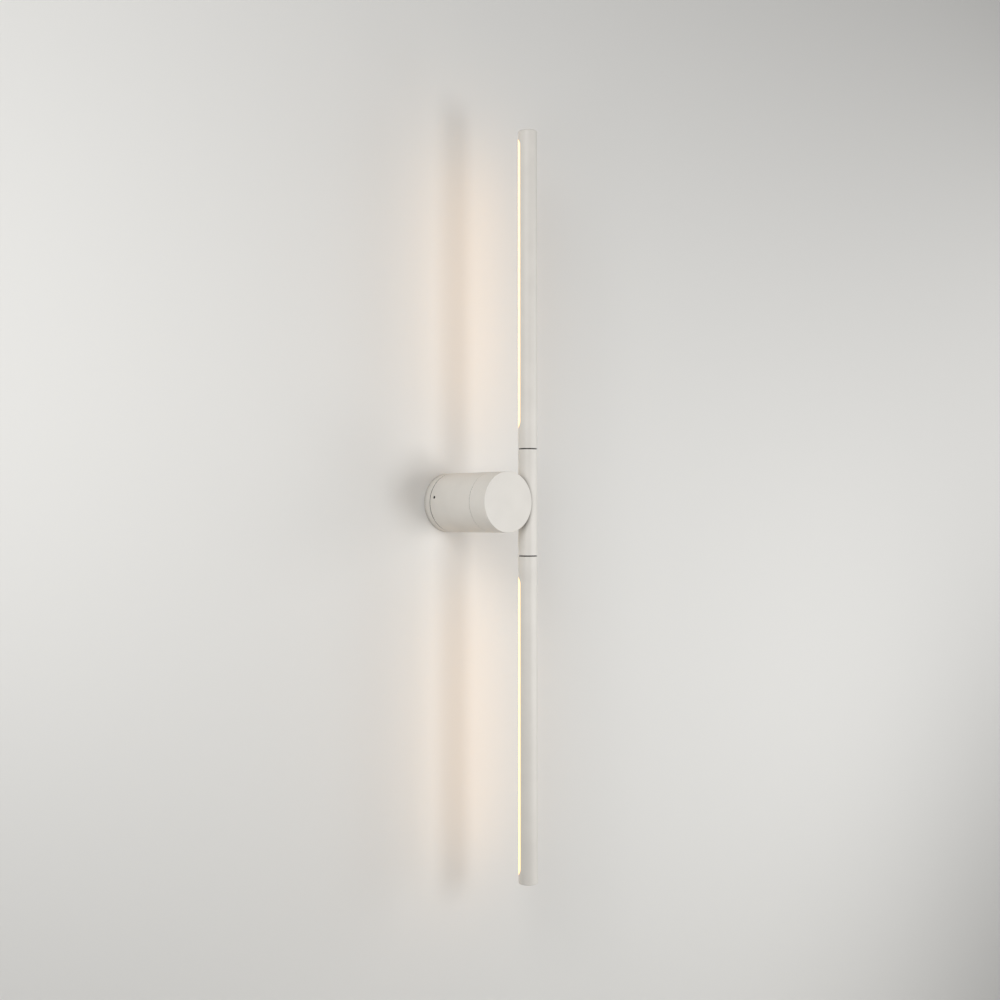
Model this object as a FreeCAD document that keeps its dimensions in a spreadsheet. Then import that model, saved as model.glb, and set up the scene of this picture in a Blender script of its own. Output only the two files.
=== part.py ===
"""Tube wall light: a round wall housing, a head that turns on it, and two light tubes that turn on the head.

The whole light's frame has its origin at the centre of the wall plate's back, +Z up and the wall at +Y.
Sub-parts are drawn in two working frames, and each one's Placement takes it to the whole light's frame:
 - depth frame: x to the right, y up, z out of the wall, for all that lies along the housing's axis
 - tube frame: x to the right, y towards the wall, z up the tubes' axis from its middle
The lower light tube is the upper one turned end over end.
"""

import FreeCAD, Part
import math
import os
import Sketcher
from FreeCAD import Placement, Rotation, Vector

DRIVING_SIZES = [
    # wall plate, housing and head
    ("body_diameter", 80.0, "outside of the wall ring, the housing and the head"),
    ("ring_length", 12.8, "wall ring, back to front"),
    ("ring_chamfer", 0.9, "bright edge at the front of the wall ring"),
    ("shadow_gap", 0.8, "dark line between the wall ring and the housing"),
    ("housing_length", 85.4, "housing, back to front"),
    ("seam_gap", 0.4, "fine line between the housing and the head"),
    ("head_length", 31.8, "head, back to front"),
    ("shell_wall", 3.0, "side wall of the housing and the head"),
    ("front_wall", 4.0, "front disc of the head"),
    ("edge_break", 0.4, "small chamfer on turned edges"),
    ("floor_thick", 4.0, "wall plate's floor"),
    ("neck_wall", 4.0, "wall plate's neck, which the housing slides over"),
    ("neck_reach", 16.0, "how far the neck goes into the housing"),
    ("screw_spacing", 50.0, "wall screws, centre to centre"),
    ("slot_length", 9.0, "wall screw slot, end to end"),
    ("slot_width", 4.6, "wall screw slot, across"),
    ("cable_hole", 14.0, "cable hole in the floor"),
    ("cable_bore", 8.0, "bore of the grommet"),
    ("earth_drop", 20.0, "earth screw, below the axis"),
    ("grub_setback", 8.6, "set screws, from the housing's back edge"),
    ("grub_diameter", 4.0, "set screws that hold the housing"),
    ("grub_sunk", 0.7, "set screws, below the housing's surface"),
    ("grub_groove", 1.9, "depth of the groove that the set screws bite in"),
    ("grub_angle", 170.0, "first set screw, degrees from the right towards the top"),
    # mains terminals and LED driver
    ("block_length", 26.0, "terminal block, across the three poles"),
    ("block_width", 13.0, "terminal block, along the wire ways"),
    ("block_height", 14.0, "terminal block, out from the floor"),
    ("block_rise", 19.0, "middle of the terminal block, above the axis"),
    ("pole_pitch", 8.0, "terminal poles, centre to centre"),
    ("pillar_length", 22.0, "pillars between the floor and the bracket"),
    ("pillar_across", 5.5, "pillars, across flats"),
    ("pillar_spread", 22.0, "pillars, each way from the axis"),
    ("pillar_rise", 11.0, "pillars, above the axis"),
    ("bracket_thick", 1.5, "driver bracket's sheet"),
    ("leg_width", 34.0, "driver bracket's forward leg"),
    ("driver_length", 48.0, "LED driver along the housing"),
    ("driver_width", 42.0, "LED driver across"),
    ("driver_height", 24.0, "LED driver, bottom to top"),
    ("driver_bevel", 3.0, "LED driver's long edges"),
    ("lead_diameter", 2.8, "inner leads"),
    # swivel between the housing and the head
    ("web_thick", 7.0, "housing's front web"),
    ("spindle_diameter", 16.0, "hollow spindle"),
    ("spindle_bore", 9.0, "wire way through the spindle"),
    ("bush_wall", 2.0, "pivot bush"),
    ("bush_collar", 1.5, "pivot bush's collar, thickness"),
    ("washer_inner", 45.0, "friction washer, inside diameter"),
    ("washer_outer", 55.0, "friction washer, outside diameter"),
    ("washer_thick", 1.2, "friction washer"),
    ("washer_proud", 0.2, "how far the friction washer stands out of the web"),
    ("flange_thick", 5.0, "spindle's flange in the head"),
    ("stop_radius", 19.0, "stop pin, from the axis"),
    ("stop_diameter", 4.0, "stop pin"),
    ("stop_reach", 3.0, "stop pin, out of the web"),
    ("stop_seat", 5.0, "stop pin, into the web"),
    ("head_range", 165.0, "turn of the head each way, degrees"),
    ("spring_thick", 0.8, "disc spring"),
    ("spring_rise", 0.6, "disc spring's cone"),
    ("thrust_thick", 1.0, "keyed washer under the nut"),
    ("nut_thick", 5.0, "pivot nut"),
    ("nut_across", 22.0, "pivot nut, across flats"),
    ("key_flats", 14.4, "across the spindle's two flats"),
    ("flange_screw_radius", 31.5, "flange screws, from the axis"),
    # tubes
    ("tube_diameter", 25.4, "outside of all three tubes"),
    ("tube_wall", 1.5, "wall of all three tubes"),
    ("tube_span", 1000.0, "the tubes together, end to end"),
    ("centre_length", 140.4, "middle tube"),
    ("reveal", 1.7, "dark ring between two tubes"),
    ("reveal_inset", 0.9, "how far the dark ring lies inside the tubes' round"),
    ("saddle_depth", 6.0, "how far the middle tube sinks into the head's flank"),
    ("saddle_pad", 5.5, "saddle's least thickness behind the tube"),
    ("clamp_spacing", 22.0, "clamp screws, centre to centre"),
    ("clamp_flat", 2.5, "clamp bar's flat, from the tube's axis towards the head"),
    ("window_flat", 4.5, "window's edge, from the tube's axis towards the wall"),
    ("window_runout", 12.0, "cutter radius at the window's ends"),
    ("window_start", 25.5, "window, from the light tube's joint end"),
    ("window_end", 9.5, "window, from the free end"),
    ("arm_turn", 18.0, "turn of both light tubes as installed, degrees"),
    ("arm_range", 160.0, "turn of a light tube each way from square to the wall, degrees"),
    ("cap_thick", 1.3, "end cap's disc"),
    ("cap_chamfer", 0.9, "end cap's edge"),
    ("cap_plug", 5.0, "end cap's plug in the tube"),
    ("bush_length", 24.0, "joint bush in the middle tube"),
    ("shank_diameter", 12.8, "spigot in the joint bush"),
    ("plug_length", 20.0, "spigot in the light tube"),
    ("spigot_bore", 6.4, "wire way through the spigot"),
    ("dog_setback", 9.5, "stop screw, from the middle tube's end"),
    ("dog_diameter", 2.0, "stop screw's dog point"),
    ("dog_screw", 3.0, "stop screw's thread"),
    ("groove_depth", 1.6, "spigot's stop groove"),
    ("roll_pin", 2.5, "roll pin that holds the light tube on the spigot"),
    ("carrier_flat", 2.0, "LED carrier's flat, from the axis away from the wall"),
    ("carrier_wall", 2.6, "LED carrier's wall"),
    ("board_width", 17.0, "LED board"),
    ("board_thick", 1.6, "LED board"),
    ("board_inset", 1.5, "LED board, inside the window's length at each end"),
    ("led_width", 2.8, "LED package"),
    ("led_height", 0.8, "LED package, off the board"),
    ("lip_thick", 1.0, "diffuser's part inside the tube's bore"),
    # clearances
    ("fit_slip", 0.15, "radial play of pieces that slide together"),
    ("fit_run", 0.08, "radial play of a shaft in its bush"),
    ("fit_close", 0.05, "play round screws, pins and bonded pieces"),
    ("play", 0.2, "gap between faces that pass each other"),
    ("stop_play", 0.3, "play round a stop in its groove"),
]
LEDS_PER_TUBE = 24
GRUB_COUNT = 3
BOSS_ANGLES = (100, 180, 260)
STOP_SLACK_DEG = 1

doc = FreeCAD.newDocument("tube_wall_light")
sheet = doc.addObject("Spreadsheet::Sheet", "dims")
for row, (alias, size, meaning) in enumerate(DRIVING_SIZES, start=1):
    sheet.set(f"A{row}", meaning)
    sheet.set(f"B{row}", str(size))
    sheet.setAlias(f"B{row}", alias)
doc.recompute()

# Derived sizes of the depth frame, as expressions on the sheet: depths count out from the wall
BODY_R = "(dims.body_diameter / 2)"
BODY_BORE_R = f"({BODY_R} - dims.shell_wall)"
NECK_R = f"({BODY_BORE_R} - dims.fit_slip)"
NECK_BORE_R = f"({NECK_R} - dims.neck_wall)"
NECK_GROOVE_R = f"({NECK_R} - dims.grub_groove)"
HOUSING_BACK = "(dims.ring_length + dims.shadow_gap)"
HOUSING_FRONT = f"({HOUSING_BACK} + dims.housing_length)"
WEB_BACK = f"({HOUSING_FRONT} - dims.web_thick)"
HEAD_BACK = f"({HOUSING_FRONT} + dims.seam_gap)"
HEAD_FRONT = f"({HEAD_BACK} + dims.head_length)"
HEAD_FLOOR = f"({HEAD_FRONT} - dims.front_wall)"
GRUB_Z = f"({HOUSING_BACK} + dims.grub_setback)"
GRUB_R = "(dims.grub_diameter / 2)"
SPINDLE_R = "(dims.spindle_diameter / 2)"
PIVOT_BORE_R = f"({SPINDLE_R} + dims.fit_run)"
PIVOT_BUSH_R = f"({PIVOT_BORE_R} + dims.bush_wall)"
COLLAR_R = f"({PIVOT_BUSH_R} + 3.5)"
WASHER_BACK = f"({HOUSING_FRONT} + dims.washer_proud - dims.washer_thick)"
FLANGE_BACK = f"({HOUSING_FRONT} + dims.washer_proud + dims.fit_close)"
FLANGE_FRONT = f"({FLANGE_BACK} + dims.flange_thick)"
COLLAR_BACK = f"({WEB_BACK} - dims.bush_collar)"
SPRING_FRONT = f"({COLLAR_BACK} - dims.fit_close)"
SPRING_BACK = f"({SPRING_FRONT} - dims.spring_thick - dims.spring_rise)"
THRUST_BACK = f"({SPRING_BACK} - dims.thrust_thick)"
NUT_BACK = f"({THRUST_BACK} - dims.nut_thick)"
SPINDLE_BACK = f"({NUT_BACK} - 1)"
STOP_PIN_R = "(dims.stop_diameter / 2)"
LEAD_R = "(dims.lead_diameter / 2)"
BLOCK_LOW = "(dims.block_rise - dims.block_width / 2)"
BLOCK_TOP = "(dims.floor_thick + dims.block_height)"
WIRE_WAY_Z = "(dims.floor_thick + 4)"
BRACKET_BACK = "(dims.floor_thick + dims.pillar_length)"
BRACKET_FRONT = f"({BRACKET_BACK} + dims.bracket_thick)"
DRIVER_BACK = f"({BRACKET_FRONT} + 1.5)"
DRIVER_FRONT = f"({DRIVER_BACK} + dims.driver_length)"
DRIVER_LOW = "(-dims.driver_height / 2 - 1.5)"
LEG_LOW = f"({DRIVER_LOW} - dims.bracket_thick)"
TUBE_R = "(dims.tube_diameter / 2)"
TUBE_BORE_R = f"({TUBE_R} - dims.tube_wall)"
TUBE_X = f"({BODY_R} - dims.saddle_depth + {TUBE_R})"
TUBE_DEPTH = f"(({HEAD_BACK} + {HEAD_FRONT}) / 2)"
SADDLE_X = f"({BODY_R} - dims.saddle_depth - dims.saddle_pad)"

# Derived sizes of the tube frame: heights count up from the middle of the tubes
CENTRE_END = "(dims.centre_length / 2)"
ARM_START = f"({CENTRE_END} + dims.reveal)"
ARM_END = "(dims.tube_span / 2)"
CAP_START = f"({ARM_END} - dims.cap_thick)"
CAP_PLUG_START = f"({CAP_START} - dims.cap_plug)"
PLUG_R = f"({TUBE_BORE_R} - dims.fit_close)"
PLUG_END = f"({ARM_START} + dims.plug_length)"
WINDOW_LOW = f"({ARM_START} + dims.window_start)"
WINDOW_HIGH = f"({ARM_END} - dims.window_end)"
SHANK_R = "(dims.shank_diameter / 2)"
BUSH_START = f"({CENTRE_END} - dims.bush_length)"
SHANK_START = f"({BUSH_START} + dims.play)"
JOINT_BORE_R = f"({SHANK_R} + dims.fit_run)"
DOG_Z = f"({CENTRE_END} - dims.dog_setback)"
DOG_R = "(dims.dog_diameter / 2)"
DOG_SCREW_R = "(dims.dog_screw / 2)"
DOG_HOLE_R = f"({DOG_SCREW_R} + dims.fit_close)"
GROOVE_R = f"({SHANK_R} - dims.groove_depth)"
PIN_Z = f"({ARM_START} + dims.plug_length / 2)"
PIN_HOLE_R = "(dims.roll_pin / 2 + dims.fit_close)"
BOARD_LOW = f"({WINDOW_LOW} + dims.board_inset)"
BOARD_HIGH = f"({WINDOW_HIGH} - dims.board_inset)"
BOARD_TOP = "(dims.board_thick - dims.carrier_flat)"

# Thread sizes of the small screws: clearance hole, tapped hole and shank
M3_CLEAR_R, M3_TAP_R, M3_SHANK_R = "1.6", "1.5", "1.45"
M4_CLEAR_R, M4_TAP_R, M4_SHANK_R = "2.2", "2", "1.95"


def value(text):
    """The number that an expression on the sheet has now."""
    return float(sheet.evalExpression(text))


# Building blocks of a sub-part

DEPTH_FRAME = Rotation(Vector(1, 0, 0), 90)
finished = []
cuts = []


def place(piece, x="0", y="0", z="0", rotation=Rotation()):
    """Put a piece at a point of the whole light's frame, with each coordinate tied to the sheet."""
    piece.Placement = Placement(Vector(value(x), value(y), value(z)), rotation)
    for axis, text in (("x", x), ("y", y), ("z", z)):
        if text != "0":
            piece.setExpression(f"Placement.Base.{axis}", text)


def keep(piece, label):
    """Name a finished sub-part and list it for writing."""
    piece.Label = label
    finished.append(piece)


def about_axis(degrees):
    """Depth frame, turned about the housing's axis."""
    return DEPTH_FRAME.multiply(Rotation(Vector(0, 0, 1), degrees))


def polar(radius, degrees):
    """The x and y of a point on a circle about the axis."""
    return f"({radius} * cos({degrees}))", f"({radius} * sin({degrees}))"


def new_body(name):
    return doc.addObject("PartDesign::Body", name)


def sketch_on(body, role, lift=None):
    """A sketch on one of the body's own origin planes, lifted along the plane's normal."""
    sketch = body.newObject("Sketcher::SketchObject", f"{body.Name}_outline")
    plane = next(f for f in body.Origin.OriginFeatures if f.Role == role)
    sketch.AttachmentSupport = [(plane, "")]
    sketch.MapMode = "FlatFace"
    if lift:
        sketch.setExpression("AttachmentOffset.Base.z", lift)
    return sketch


def bind(sketch, kind, *target, size):
    """A dimension of the sketch that follows an expression."""
    number = sketch.addConstraint(Sketcher.Constraint(kind, *target, value(size)))
    sketch.setExpression(f"Constraints[{number}]", size)


def tie(sketch, edge, point, x, y):
    """Hold a point of a sketch at x and y from the sketch's origin."""
    for kind, own_axis, text in (("DistanceX", -2, x), ("DistanceY", -1, y)):
        if abs(value(text)) < 1e-9:
            sketch.addConstraint(Sketcher.Constraint("PointOnObject", edge, point, own_axis))
        else:
            bind(sketch, kind, -1, 1, edge, point, size=text)


def join(sketch, kind, *pairs):
    for pair in pairs:
        sketch.addConstraint(Sketcher.Constraint(kind, *pair))


def draw_polygon(sketch, corners):
    first = sketch.GeometryCount
    points = [Vector(value(x), value(y), 0) for x, y in corners]
    for start, end in zip(points, points[1:] + points[:1]):
        sketch.addGeometry(Part.LineSegment(start, end), False)
    for i, (x, y) in enumerate(corners):
        before = first + (i - 1) % len(corners)
        join(sketch, "Coincident", (before, 2, first + i, 1))
        tie(sketch, first + i, 1, x, y)


def draw_box(sketch, left, right, low, high):
    draw_polygon(sketch, [(left, low), (right, low), (right, high), (left, high)])


def draw_hexagon(sketch, across):
    draw_polygon(sketch, [polar(f"({across} / 2 / cos(30))", 60 * i) for i in range(6)])


def draw_circle(sketch, radius, x="0", y="0"):
    centre = Vector(value(x), value(y), 0)
    edge = sketch.addGeometry(Part.Circle(centre, Vector(0, 0, 1), value(radius)), False)
    tie(sketch, edge, 3, x, y)
    bind(sketch, "Radius", edge, size=radius)


def draw_arc(sketch, radius, x, y, start_deg, end_deg):
    """An arc about (x, y), counter-clockwise from start to end."""
    circle = Part.Circle(Vector(value(x), value(y), 0), Vector(0, 0, 1), value(radius))
    arc = Part.ArcOfCircle(circle, math.radians(start_deg), math.radians(end_deg))
    edge = sketch.addGeometry(arc, False)
    tie(sketch, edge, 3, x, y)
    bind(sketch, "Radius", edge, size=radius)
    return edge


def draw_line(sketch, *ends):
    """A line between two points given as numbers, whose ends other constraints hold."""
    start, end = [Vector(x, y, 0) for x, y in ends]
    return sketch.addGeometry(Part.LineSegment(start, end), False)


def draw_slot(sketch, x, y, length, width):
    """A slot with round ends, along the sketch's x axis and centred on (x, y)."""
    radius = f"({width} / 2)"
    reach = f"({length} / 2 - {radius})"
    left = draw_arc(sketch, radius, f"{x} - {reach}", y, 90, 270)
    right = draw_arc(sketch, radius, f"{x} + {reach}", y, -90, 90)
    x_left, x_right = value(f"{x} - {reach}"), value(f"{x} + {reach}")
    y_low, y_high = value(f"{y} - {radius}"), value(f"{y} + {radius}")
    low = draw_line(sketch, (x_left, y_low), (x_right, y_low))
    high = draw_line(sketch, (x_right, y_high), (x_left, y_high))
    join(sketch, "Tangent", (left, 2, low, 1), (low, 2, right, 1), (right, 2, high, 1), (high, 2, left, 1))


def draw_segment(sketch, radius, flat):
    """A circle about the origin cut off by a chord, with the material below the chord at y = flat."""
    half_deg = math.degrees(math.acos(value(flat) / value(radius)))
    reach = value(radius) * math.sin(math.radians(half_deg))
    arc = draw_arc(sketch, radius, "0", "0", 90 + half_deg, 450 - half_deg)
    chord = draw_line(sketch, (reach, value(flat)), (-reach, value(flat)))
    join(sketch, "Coincident", (arc, 2, chord, 1), (chord, 2, arc, 1))
    join(sketch, "Horizontal", (chord,))
    bind(sketch, "DistanceY", -1, 1, chord, 1, size=flat)


def add_feature(body, kind, sketch, **options):
    """A feature from a sketch. Length and Angle are expressions."""
    feature = body.newObject(f"PartDesign::{kind}", f"{body.Name}_{kind.lower()}")
    feature.Profile = sketch
    for option, setting in options.items():
        if option in ("Length", "Angle"):
            feature.setExpression(option, setting)
        else:
            setattr(feature, option, setting)
    return feature


def pad(body, sketch, length, symmetric=False):
    side = "Symmetric" if symmetric else "One side"
    add_feature(body, "Pad", sketch, SideType=side, Length=length)


def cut_away(body, sketch, length=None, along=False, symmetric=False):
    """Pocket a sketch through all or to a length, against the plane's normal unless told along it."""
    solid_before = body.Tip
    reach = {"Length": length} if length else {"Type": "ThroughAll"}
    side = "Symmetric" if symmetric else "One side"
    pocket = add_feature(body, "Pocket", sketch, SideType=side, Reversed=along, **reach)
    cuts.append((solid_before, pocket))


def bore(body, role, circles, lift=None, **direction):
    """Round holes (radius, x, y) from an origin plane."""
    sketch = sketch_on(body, role, lift)
    for circle in circles:
        draw_circle(sketch, *circle)
    cut_away(body, sketch, **direction)


def turn(body, corners):
    """Turn a closed profile of (radius, z) corners about the body's z axis."""
    sketch = sketch_on(body, "XZ_Plane")
    draw_polygon(sketch, corners)
    add_feature(body, "Revolution", sketch, ReferenceAxis=(sketch, ["V_Axis"]), Angle="360")


def turn_groove(body, corners, sweep):
    """Turn a groove into the body, over an angle that is centred on the body's x axis."""
    sketch = sketch_on(body, "XZ_Plane")
    draw_polygon(sketch, corners)
    solid_before = body.Tip
    axis = (sketch, ["V_Axis"])
    groove = add_feature(body, "Groove", sketch, ReferenceAxis=axis, Midplane=True, Angle=sweep)
    cuts.append((solid_before, groove))


def ring(name, inner, outer, low, high):
    """A plain turned ring, or a disc where the inside is 0."""
    body = new_body(name)
    turn(body, [(inner, low), (outer, low), (outer, high), (inner, high)])
    return body


def screw(name, shank_r, length, socket, head_r=None, head="0"):
    """A screw along z with its seat at z = 0, shank below, head above and a hexagon socket in the top."""
    body = new_body(name)
    outline = [("0", head), (head_r, head), (head_r, "0")] if head_r else [("0", "0")]
    turn(body, outline + [(shank_r, "0"), (shank_r, f"-{length}"), ("0", f"-{length}")])
    sketch = sketch_on(body, "XY_Plane", head)
    draw_hexagon(sketch, socket)
    cut_away(body, sketch, f"({head} * 0.6)" if head_r else f"({length} * 0.45)")
    return body


def keep_group(label, *sets):
    """Equal pieces that share one node: copies of a form, each at its own placement."""
    doc.recompute()
    copies = []
    for form, placements in sets:
        for placement in placements:
            copy = form.Shape.copy()
            copy.Placement = placement
            copies.append(copy)
    node = doc.addObject("Part::Feature", label)
    node.Shape = Part.makeCompound(copies)
    keep(node, label)


def in_depth(x, y, z, rotation=Rotation()):
    """A point and a turn of the depth frame, as a placement in the whole light's frame."""
    spot = Vector(value(x), value(y), value(z))
    return Placement(Vector(), DEPTH_FRAME).multiply(Placement(spot, rotation))


# Wall plate: a cup turned from bar, with the neck that the housing slides over and a groove for its set screws

EARTH_SPOT = ("0", "-dims.earth_drop")
BLOCK_SPOT = ("(dims.pole_pitch / 2)", "dims.block_rise")
PILLAR_SPOTS = [("-dims.pillar_spread", "dims.pillar_rise"), ("dims.pillar_spread", "dims.pillar_rise")]
BLOCK_SCREW_TAP_R = "1.25"


def make_wall_plate():
    body = new_body("wall_plate")
    neck_front = f"({HOUSING_BACK} + dims.neck_reach)"
    groove_low = f"({GRUB_Z} - {GRUB_R} - dims.play)"
    groove_high = f"({GRUB_Z} + {GRUB_R} + dims.play)"
    turn(body, [
        ("0", "0"),
        (f"{BODY_R} - dims.edge_break", "0"),
        (BODY_R, "dims.edge_break"),
        (BODY_R, "dims.ring_length - dims.ring_chamfer"),
        (f"{BODY_R} - dims.ring_chamfer", "dims.ring_length"),
        (NECK_R, "dims.ring_length"),
        (NECK_R, groove_low),
        (NECK_GROOVE_R, groove_low),
        (NECK_GROOVE_R, groove_high),
        (NECK_R, groove_high),
        (NECK_R, neck_front),
        (NECK_BORE_R, neck_front),
        (NECK_BORE_R, "dims.floor_thick"),
        ("0", "dims.floor_thick"),
    ])
    holes = sketch_on(body, "XY_Plane")
    for side in ("-", ""):
        draw_slot(holes, f"({side}dims.screw_spacing / 2)", "0", "dims.slot_length", "dims.slot_width")
    draw_circle(holes, "dims.cable_hole / 2")
    draw_circle(holes, M4_TAP_R, *EARTH_SPOT)
    draw_circle(holes, BLOCK_SCREW_TAP_R, *BLOCK_SPOT)
    for spot in PILLAR_SPOTS:
        draw_circle(holes, M3_TAP_R, *spot)
    cut_away(body, holes, along=True)
    place(body, rotation=DEPTH_FRAME)
    keep(body, "wall_plate")


def make_cable_grommet():
    """Rubber bush in the cable hole, with a collar on the inside."""
    body = new_body("cable_grommet")
    hub_r = "(dims.cable_hole / 2 - dims.fit_close)"
    bore_r = "(dims.cable_bore / 2)"
    turn(body, [
        (bore_r, "0.3"),
        (f"{hub_r} - 0.6", "0.3"),
        (hub_r, "1"),
        (hub_r, "dims.floor_thick"),
        (f"{hub_r} + 2.5", "dims.floor_thick"),
        (f"{hub_r} + 2.5", "dims.floor_thick + 1.2"),
        (f"{hub_r} + 1.5", "dims.floor_thick + 2.2"),
        (bore_r, "dims.floor_thick + 2.2"),
    ])
    place(body, rotation=DEPTH_FRAME)
    keep(body, "cable_grommet")


def make_earth_screw():
    body = screw("earth_screw", M4_SHANK_R, "3.8", socket="2.5", head_r="3.8", head="2.6")
    place(body, x=EARTH_SPOT[0], y="-dims.floor_thick", z=EARTH_SPOT[1], rotation=DEPTH_FRAME)
    keep(body, "earth_screw")


# Mains terminals: a three-pole block on the floor, above the cable hole

POLES = ["-dims.pole_pitch", "0", "dims.pole_pitch"]
WELL_R, WELL_DEPTH, WIRE_WAY_R = "1.9", "8.4", "1.6"
WELL_ROWS = ["(dims.block_rise - 3)", "(dims.block_rise + 3)"]
BLOCK_SCREW_SEAT = f"({BLOCK_TOP} - 9.4)"


def make_terminal_block():
    body = new_body("terminal_block")
    high = "(dims.block_rise + dims.block_width / 2)"
    outline = sketch_on(body, "XY_Plane", "dims.floor_thick")
    draw_box(outline, "-dims.block_length / 2", "dims.block_length / 2", BLOCK_LOW, high)
    pad(body, outline, "dims.block_height")
    wells = [(WELL_R, x, y) for x in POLES for y in WELL_ROWS]
    bore(body, "XY_Plane", wells, lift=BLOCK_TOP, length=WELL_DEPTH)
    wire_ways = [(WIRE_WAY_R, x, WIRE_WAY_Z) for x in POLES]
    bore(body, "XZ_Plane", wire_ways, lift=f"-{BLOCK_LOW}", length="5")
    bore(body, "XZ_Plane", wire_ways, lift=f"-{high}", length="5", along=True)
    bore(body, "XY_Plane", [("1.3", *BLOCK_SPOT)], along=True)
    bore(body, "XY_Plane", [("2.4", *BLOCK_SPOT)], lift=BLOCK_SCREW_SEAT, along=True)
    place(body, rotation=DEPTH_FRAME)
    keep(body, "terminal_block")


def make_terminal_screws():
    """Clamp screws in the block's wells, and the screw between two poles that holds the block."""
    clamp = ring("terminal_screw_form", "0", f"({WELL_R} - 0.1)", "0", "4")
    holder = screw("block_screw_form", "1.2", "8", socket="1.5", head_r="2.2", head="1.5")
    wells = [in_depth(x, y, f"{BLOCK_TOP} - {WELL_DEPTH}") for x in POLES for y in WELL_ROWS]
    seat = in_depth(*BLOCK_SPOT, BLOCK_SCREW_SEAT)
    keep_group("terminal_screws", (clamp, wells), (holder, [seat]))


# LED driver on its bracket, which stands on two pillars in front of the floor

DRIVER_SCREW_DEPTHS = [f"({DRIVER_BACK} + 6)", f"({DRIVER_FRONT} - 6)"]
LEAD_ENTRY_Y = "3"


def make_bracket_pillars():
    """Hexagon pillars with a stud in the floor and a tapped hole for the bracket."""
    form = new_body("pillar_form")
    outline = sketch_on(form, "XY_Plane", "dims.floor_thick")
    draw_hexagon(outline, "dims.pillar_across")
    pad(form, outline, "dims.pillar_length")
    stud = sketch_on(form, "XY_Plane", "0.4")
    draw_circle(stud, M3_SHANK_R)
    pad(form, stud, "dims.floor_thick")
    bore(form, "XY_Plane", [(M3_TAP_R, "0", "0")], lift=BRACKET_BACK, length="9")
    keep_group("bracket_pillars", (form, [in_depth(x, y, "0") for x, y in PILLAR_SPOTS]))


def make_bracket_screws():
    form = screw("bracket_screw_form", M3_SHANK_R, "8", socket="2", head_r="2.8", head="2")
    keep_group("bracket_screws", (form, [in_depth(x, y, BRACKET_FRONT) for x, y in PILLAR_SPOTS]))


def make_driver_bracket():
    """Bent sheet: a plate on the pillars and a leg that goes forward under the driver."""
    body = new_body("driver_bracket")
    wide, half_leg = "(dims.pillar_spread + 4)", "(dims.leg_width / 2)"
    plate = sketch_on(body, "XY_Plane", BRACKET_BACK)
    draw_polygon(plate, [
        (f"-{wide}", "dims.pillar_rise + 5"),
        (f"-{wide}", "dims.pillar_rise - 7"),
        (f"-{half_leg}", LEG_LOW),
        (half_leg, LEG_LOW),
        (wide, "dims.pillar_rise - 7"),
        (wide, "dims.pillar_rise + 5"),
    ])
    pad(body, plate, "dims.bracket_thick")
    leg = sketch_on(body, "XY_Plane", BRACKET_BACK)
    draw_box(leg, f"-{half_leg}", half_leg, LEG_LOW, DRIVER_LOW)
    pad(body, leg, f"{DRIVER_FRONT} + 2.5 - {BRACKET_BACK}")
    holes = [(M3_CLEAR_R, x, y) for x, y in PILLAR_SPOTS] + [("7", "0", LEAD_ENTRY_Y)]
    bore(body, "XY_Plane", holes, along=True)
    bore(body, "XZ_Plane", [(M3_CLEAR_R, "0", z) for z in DRIVER_SCREW_DEPTHS], along=True)
    place(body, rotation=DEPTH_FRAME)
    keep(body, "driver_bracket")


def make_led_driver():
    """Potted driver: a plain moulded case with bevelled long edges and a wire hole at each end."""
    body = new_body("led_driver")
    half = "(dims.driver_width / 2)"
    top = f"({DRIVER_LOW} + dims.driver_height)"
    outline = sketch_on(body, "XY_Plane", DRIVER_BACK)
    draw_polygon(outline, [
        (f"dims.driver_bevel - {half}", DRIVER_LOW),
        (f"{half} - dims.driver_bevel", DRIVER_LOW),
        (half, f"{DRIVER_LOW} + dims.driver_bevel"),
        (half, f"{top} - dims.driver_bevel"),
        (f"{half} - dims.driver_bevel", top),
        (f"dims.driver_bevel - {half}", top),
        (f"-{half}", f"{top} - dims.driver_bevel"),
        (f"-{half}", f"{DRIVER_LOW} + dims.driver_bevel"),
    ])
    pad(body, outline, "dims.driver_length")
    wire_hole = f"({LEAD_R} + 0.4)"
    bore(body, "XY_Plane", [(wire_hole, "0", LEAD_ENTRY_Y)], lift=DRIVER_BACK, length="5", along=True)
    bore(body, "XY_Plane", [(wire_hole, "0", "0")], lift=DRIVER_FRONT, length="5")
    screw_holes = [(M3_TAP_R, "0", z) for z in DRIVER_SCREW_DEPTHS]
    bore(body, "XZ_Plane", screw_holes, lift=f"-{DRIVER_LOW}", length="6")
    place(body, rotation=DEPTH_FRAME)
    keep(body, "led_driver")


def make_driver_screws():
    """Screws from below, through the leg into the driver's case."""
    form = screw("driver_screw_form", M3_SHANK_R, "6", socket="2", head_r="2.8", head="2")
    upwards = Rotation(Vector(1, 0, 0), 90)
    keep_group("driver_screws", (form, [in_depth("0", LEG_LOW, z, upwards) for z in DRIVER_SCREW_DEPTHS]))


# Leads: jacketed wire in the depth frame, with one bend from the first direction into the second

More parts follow.
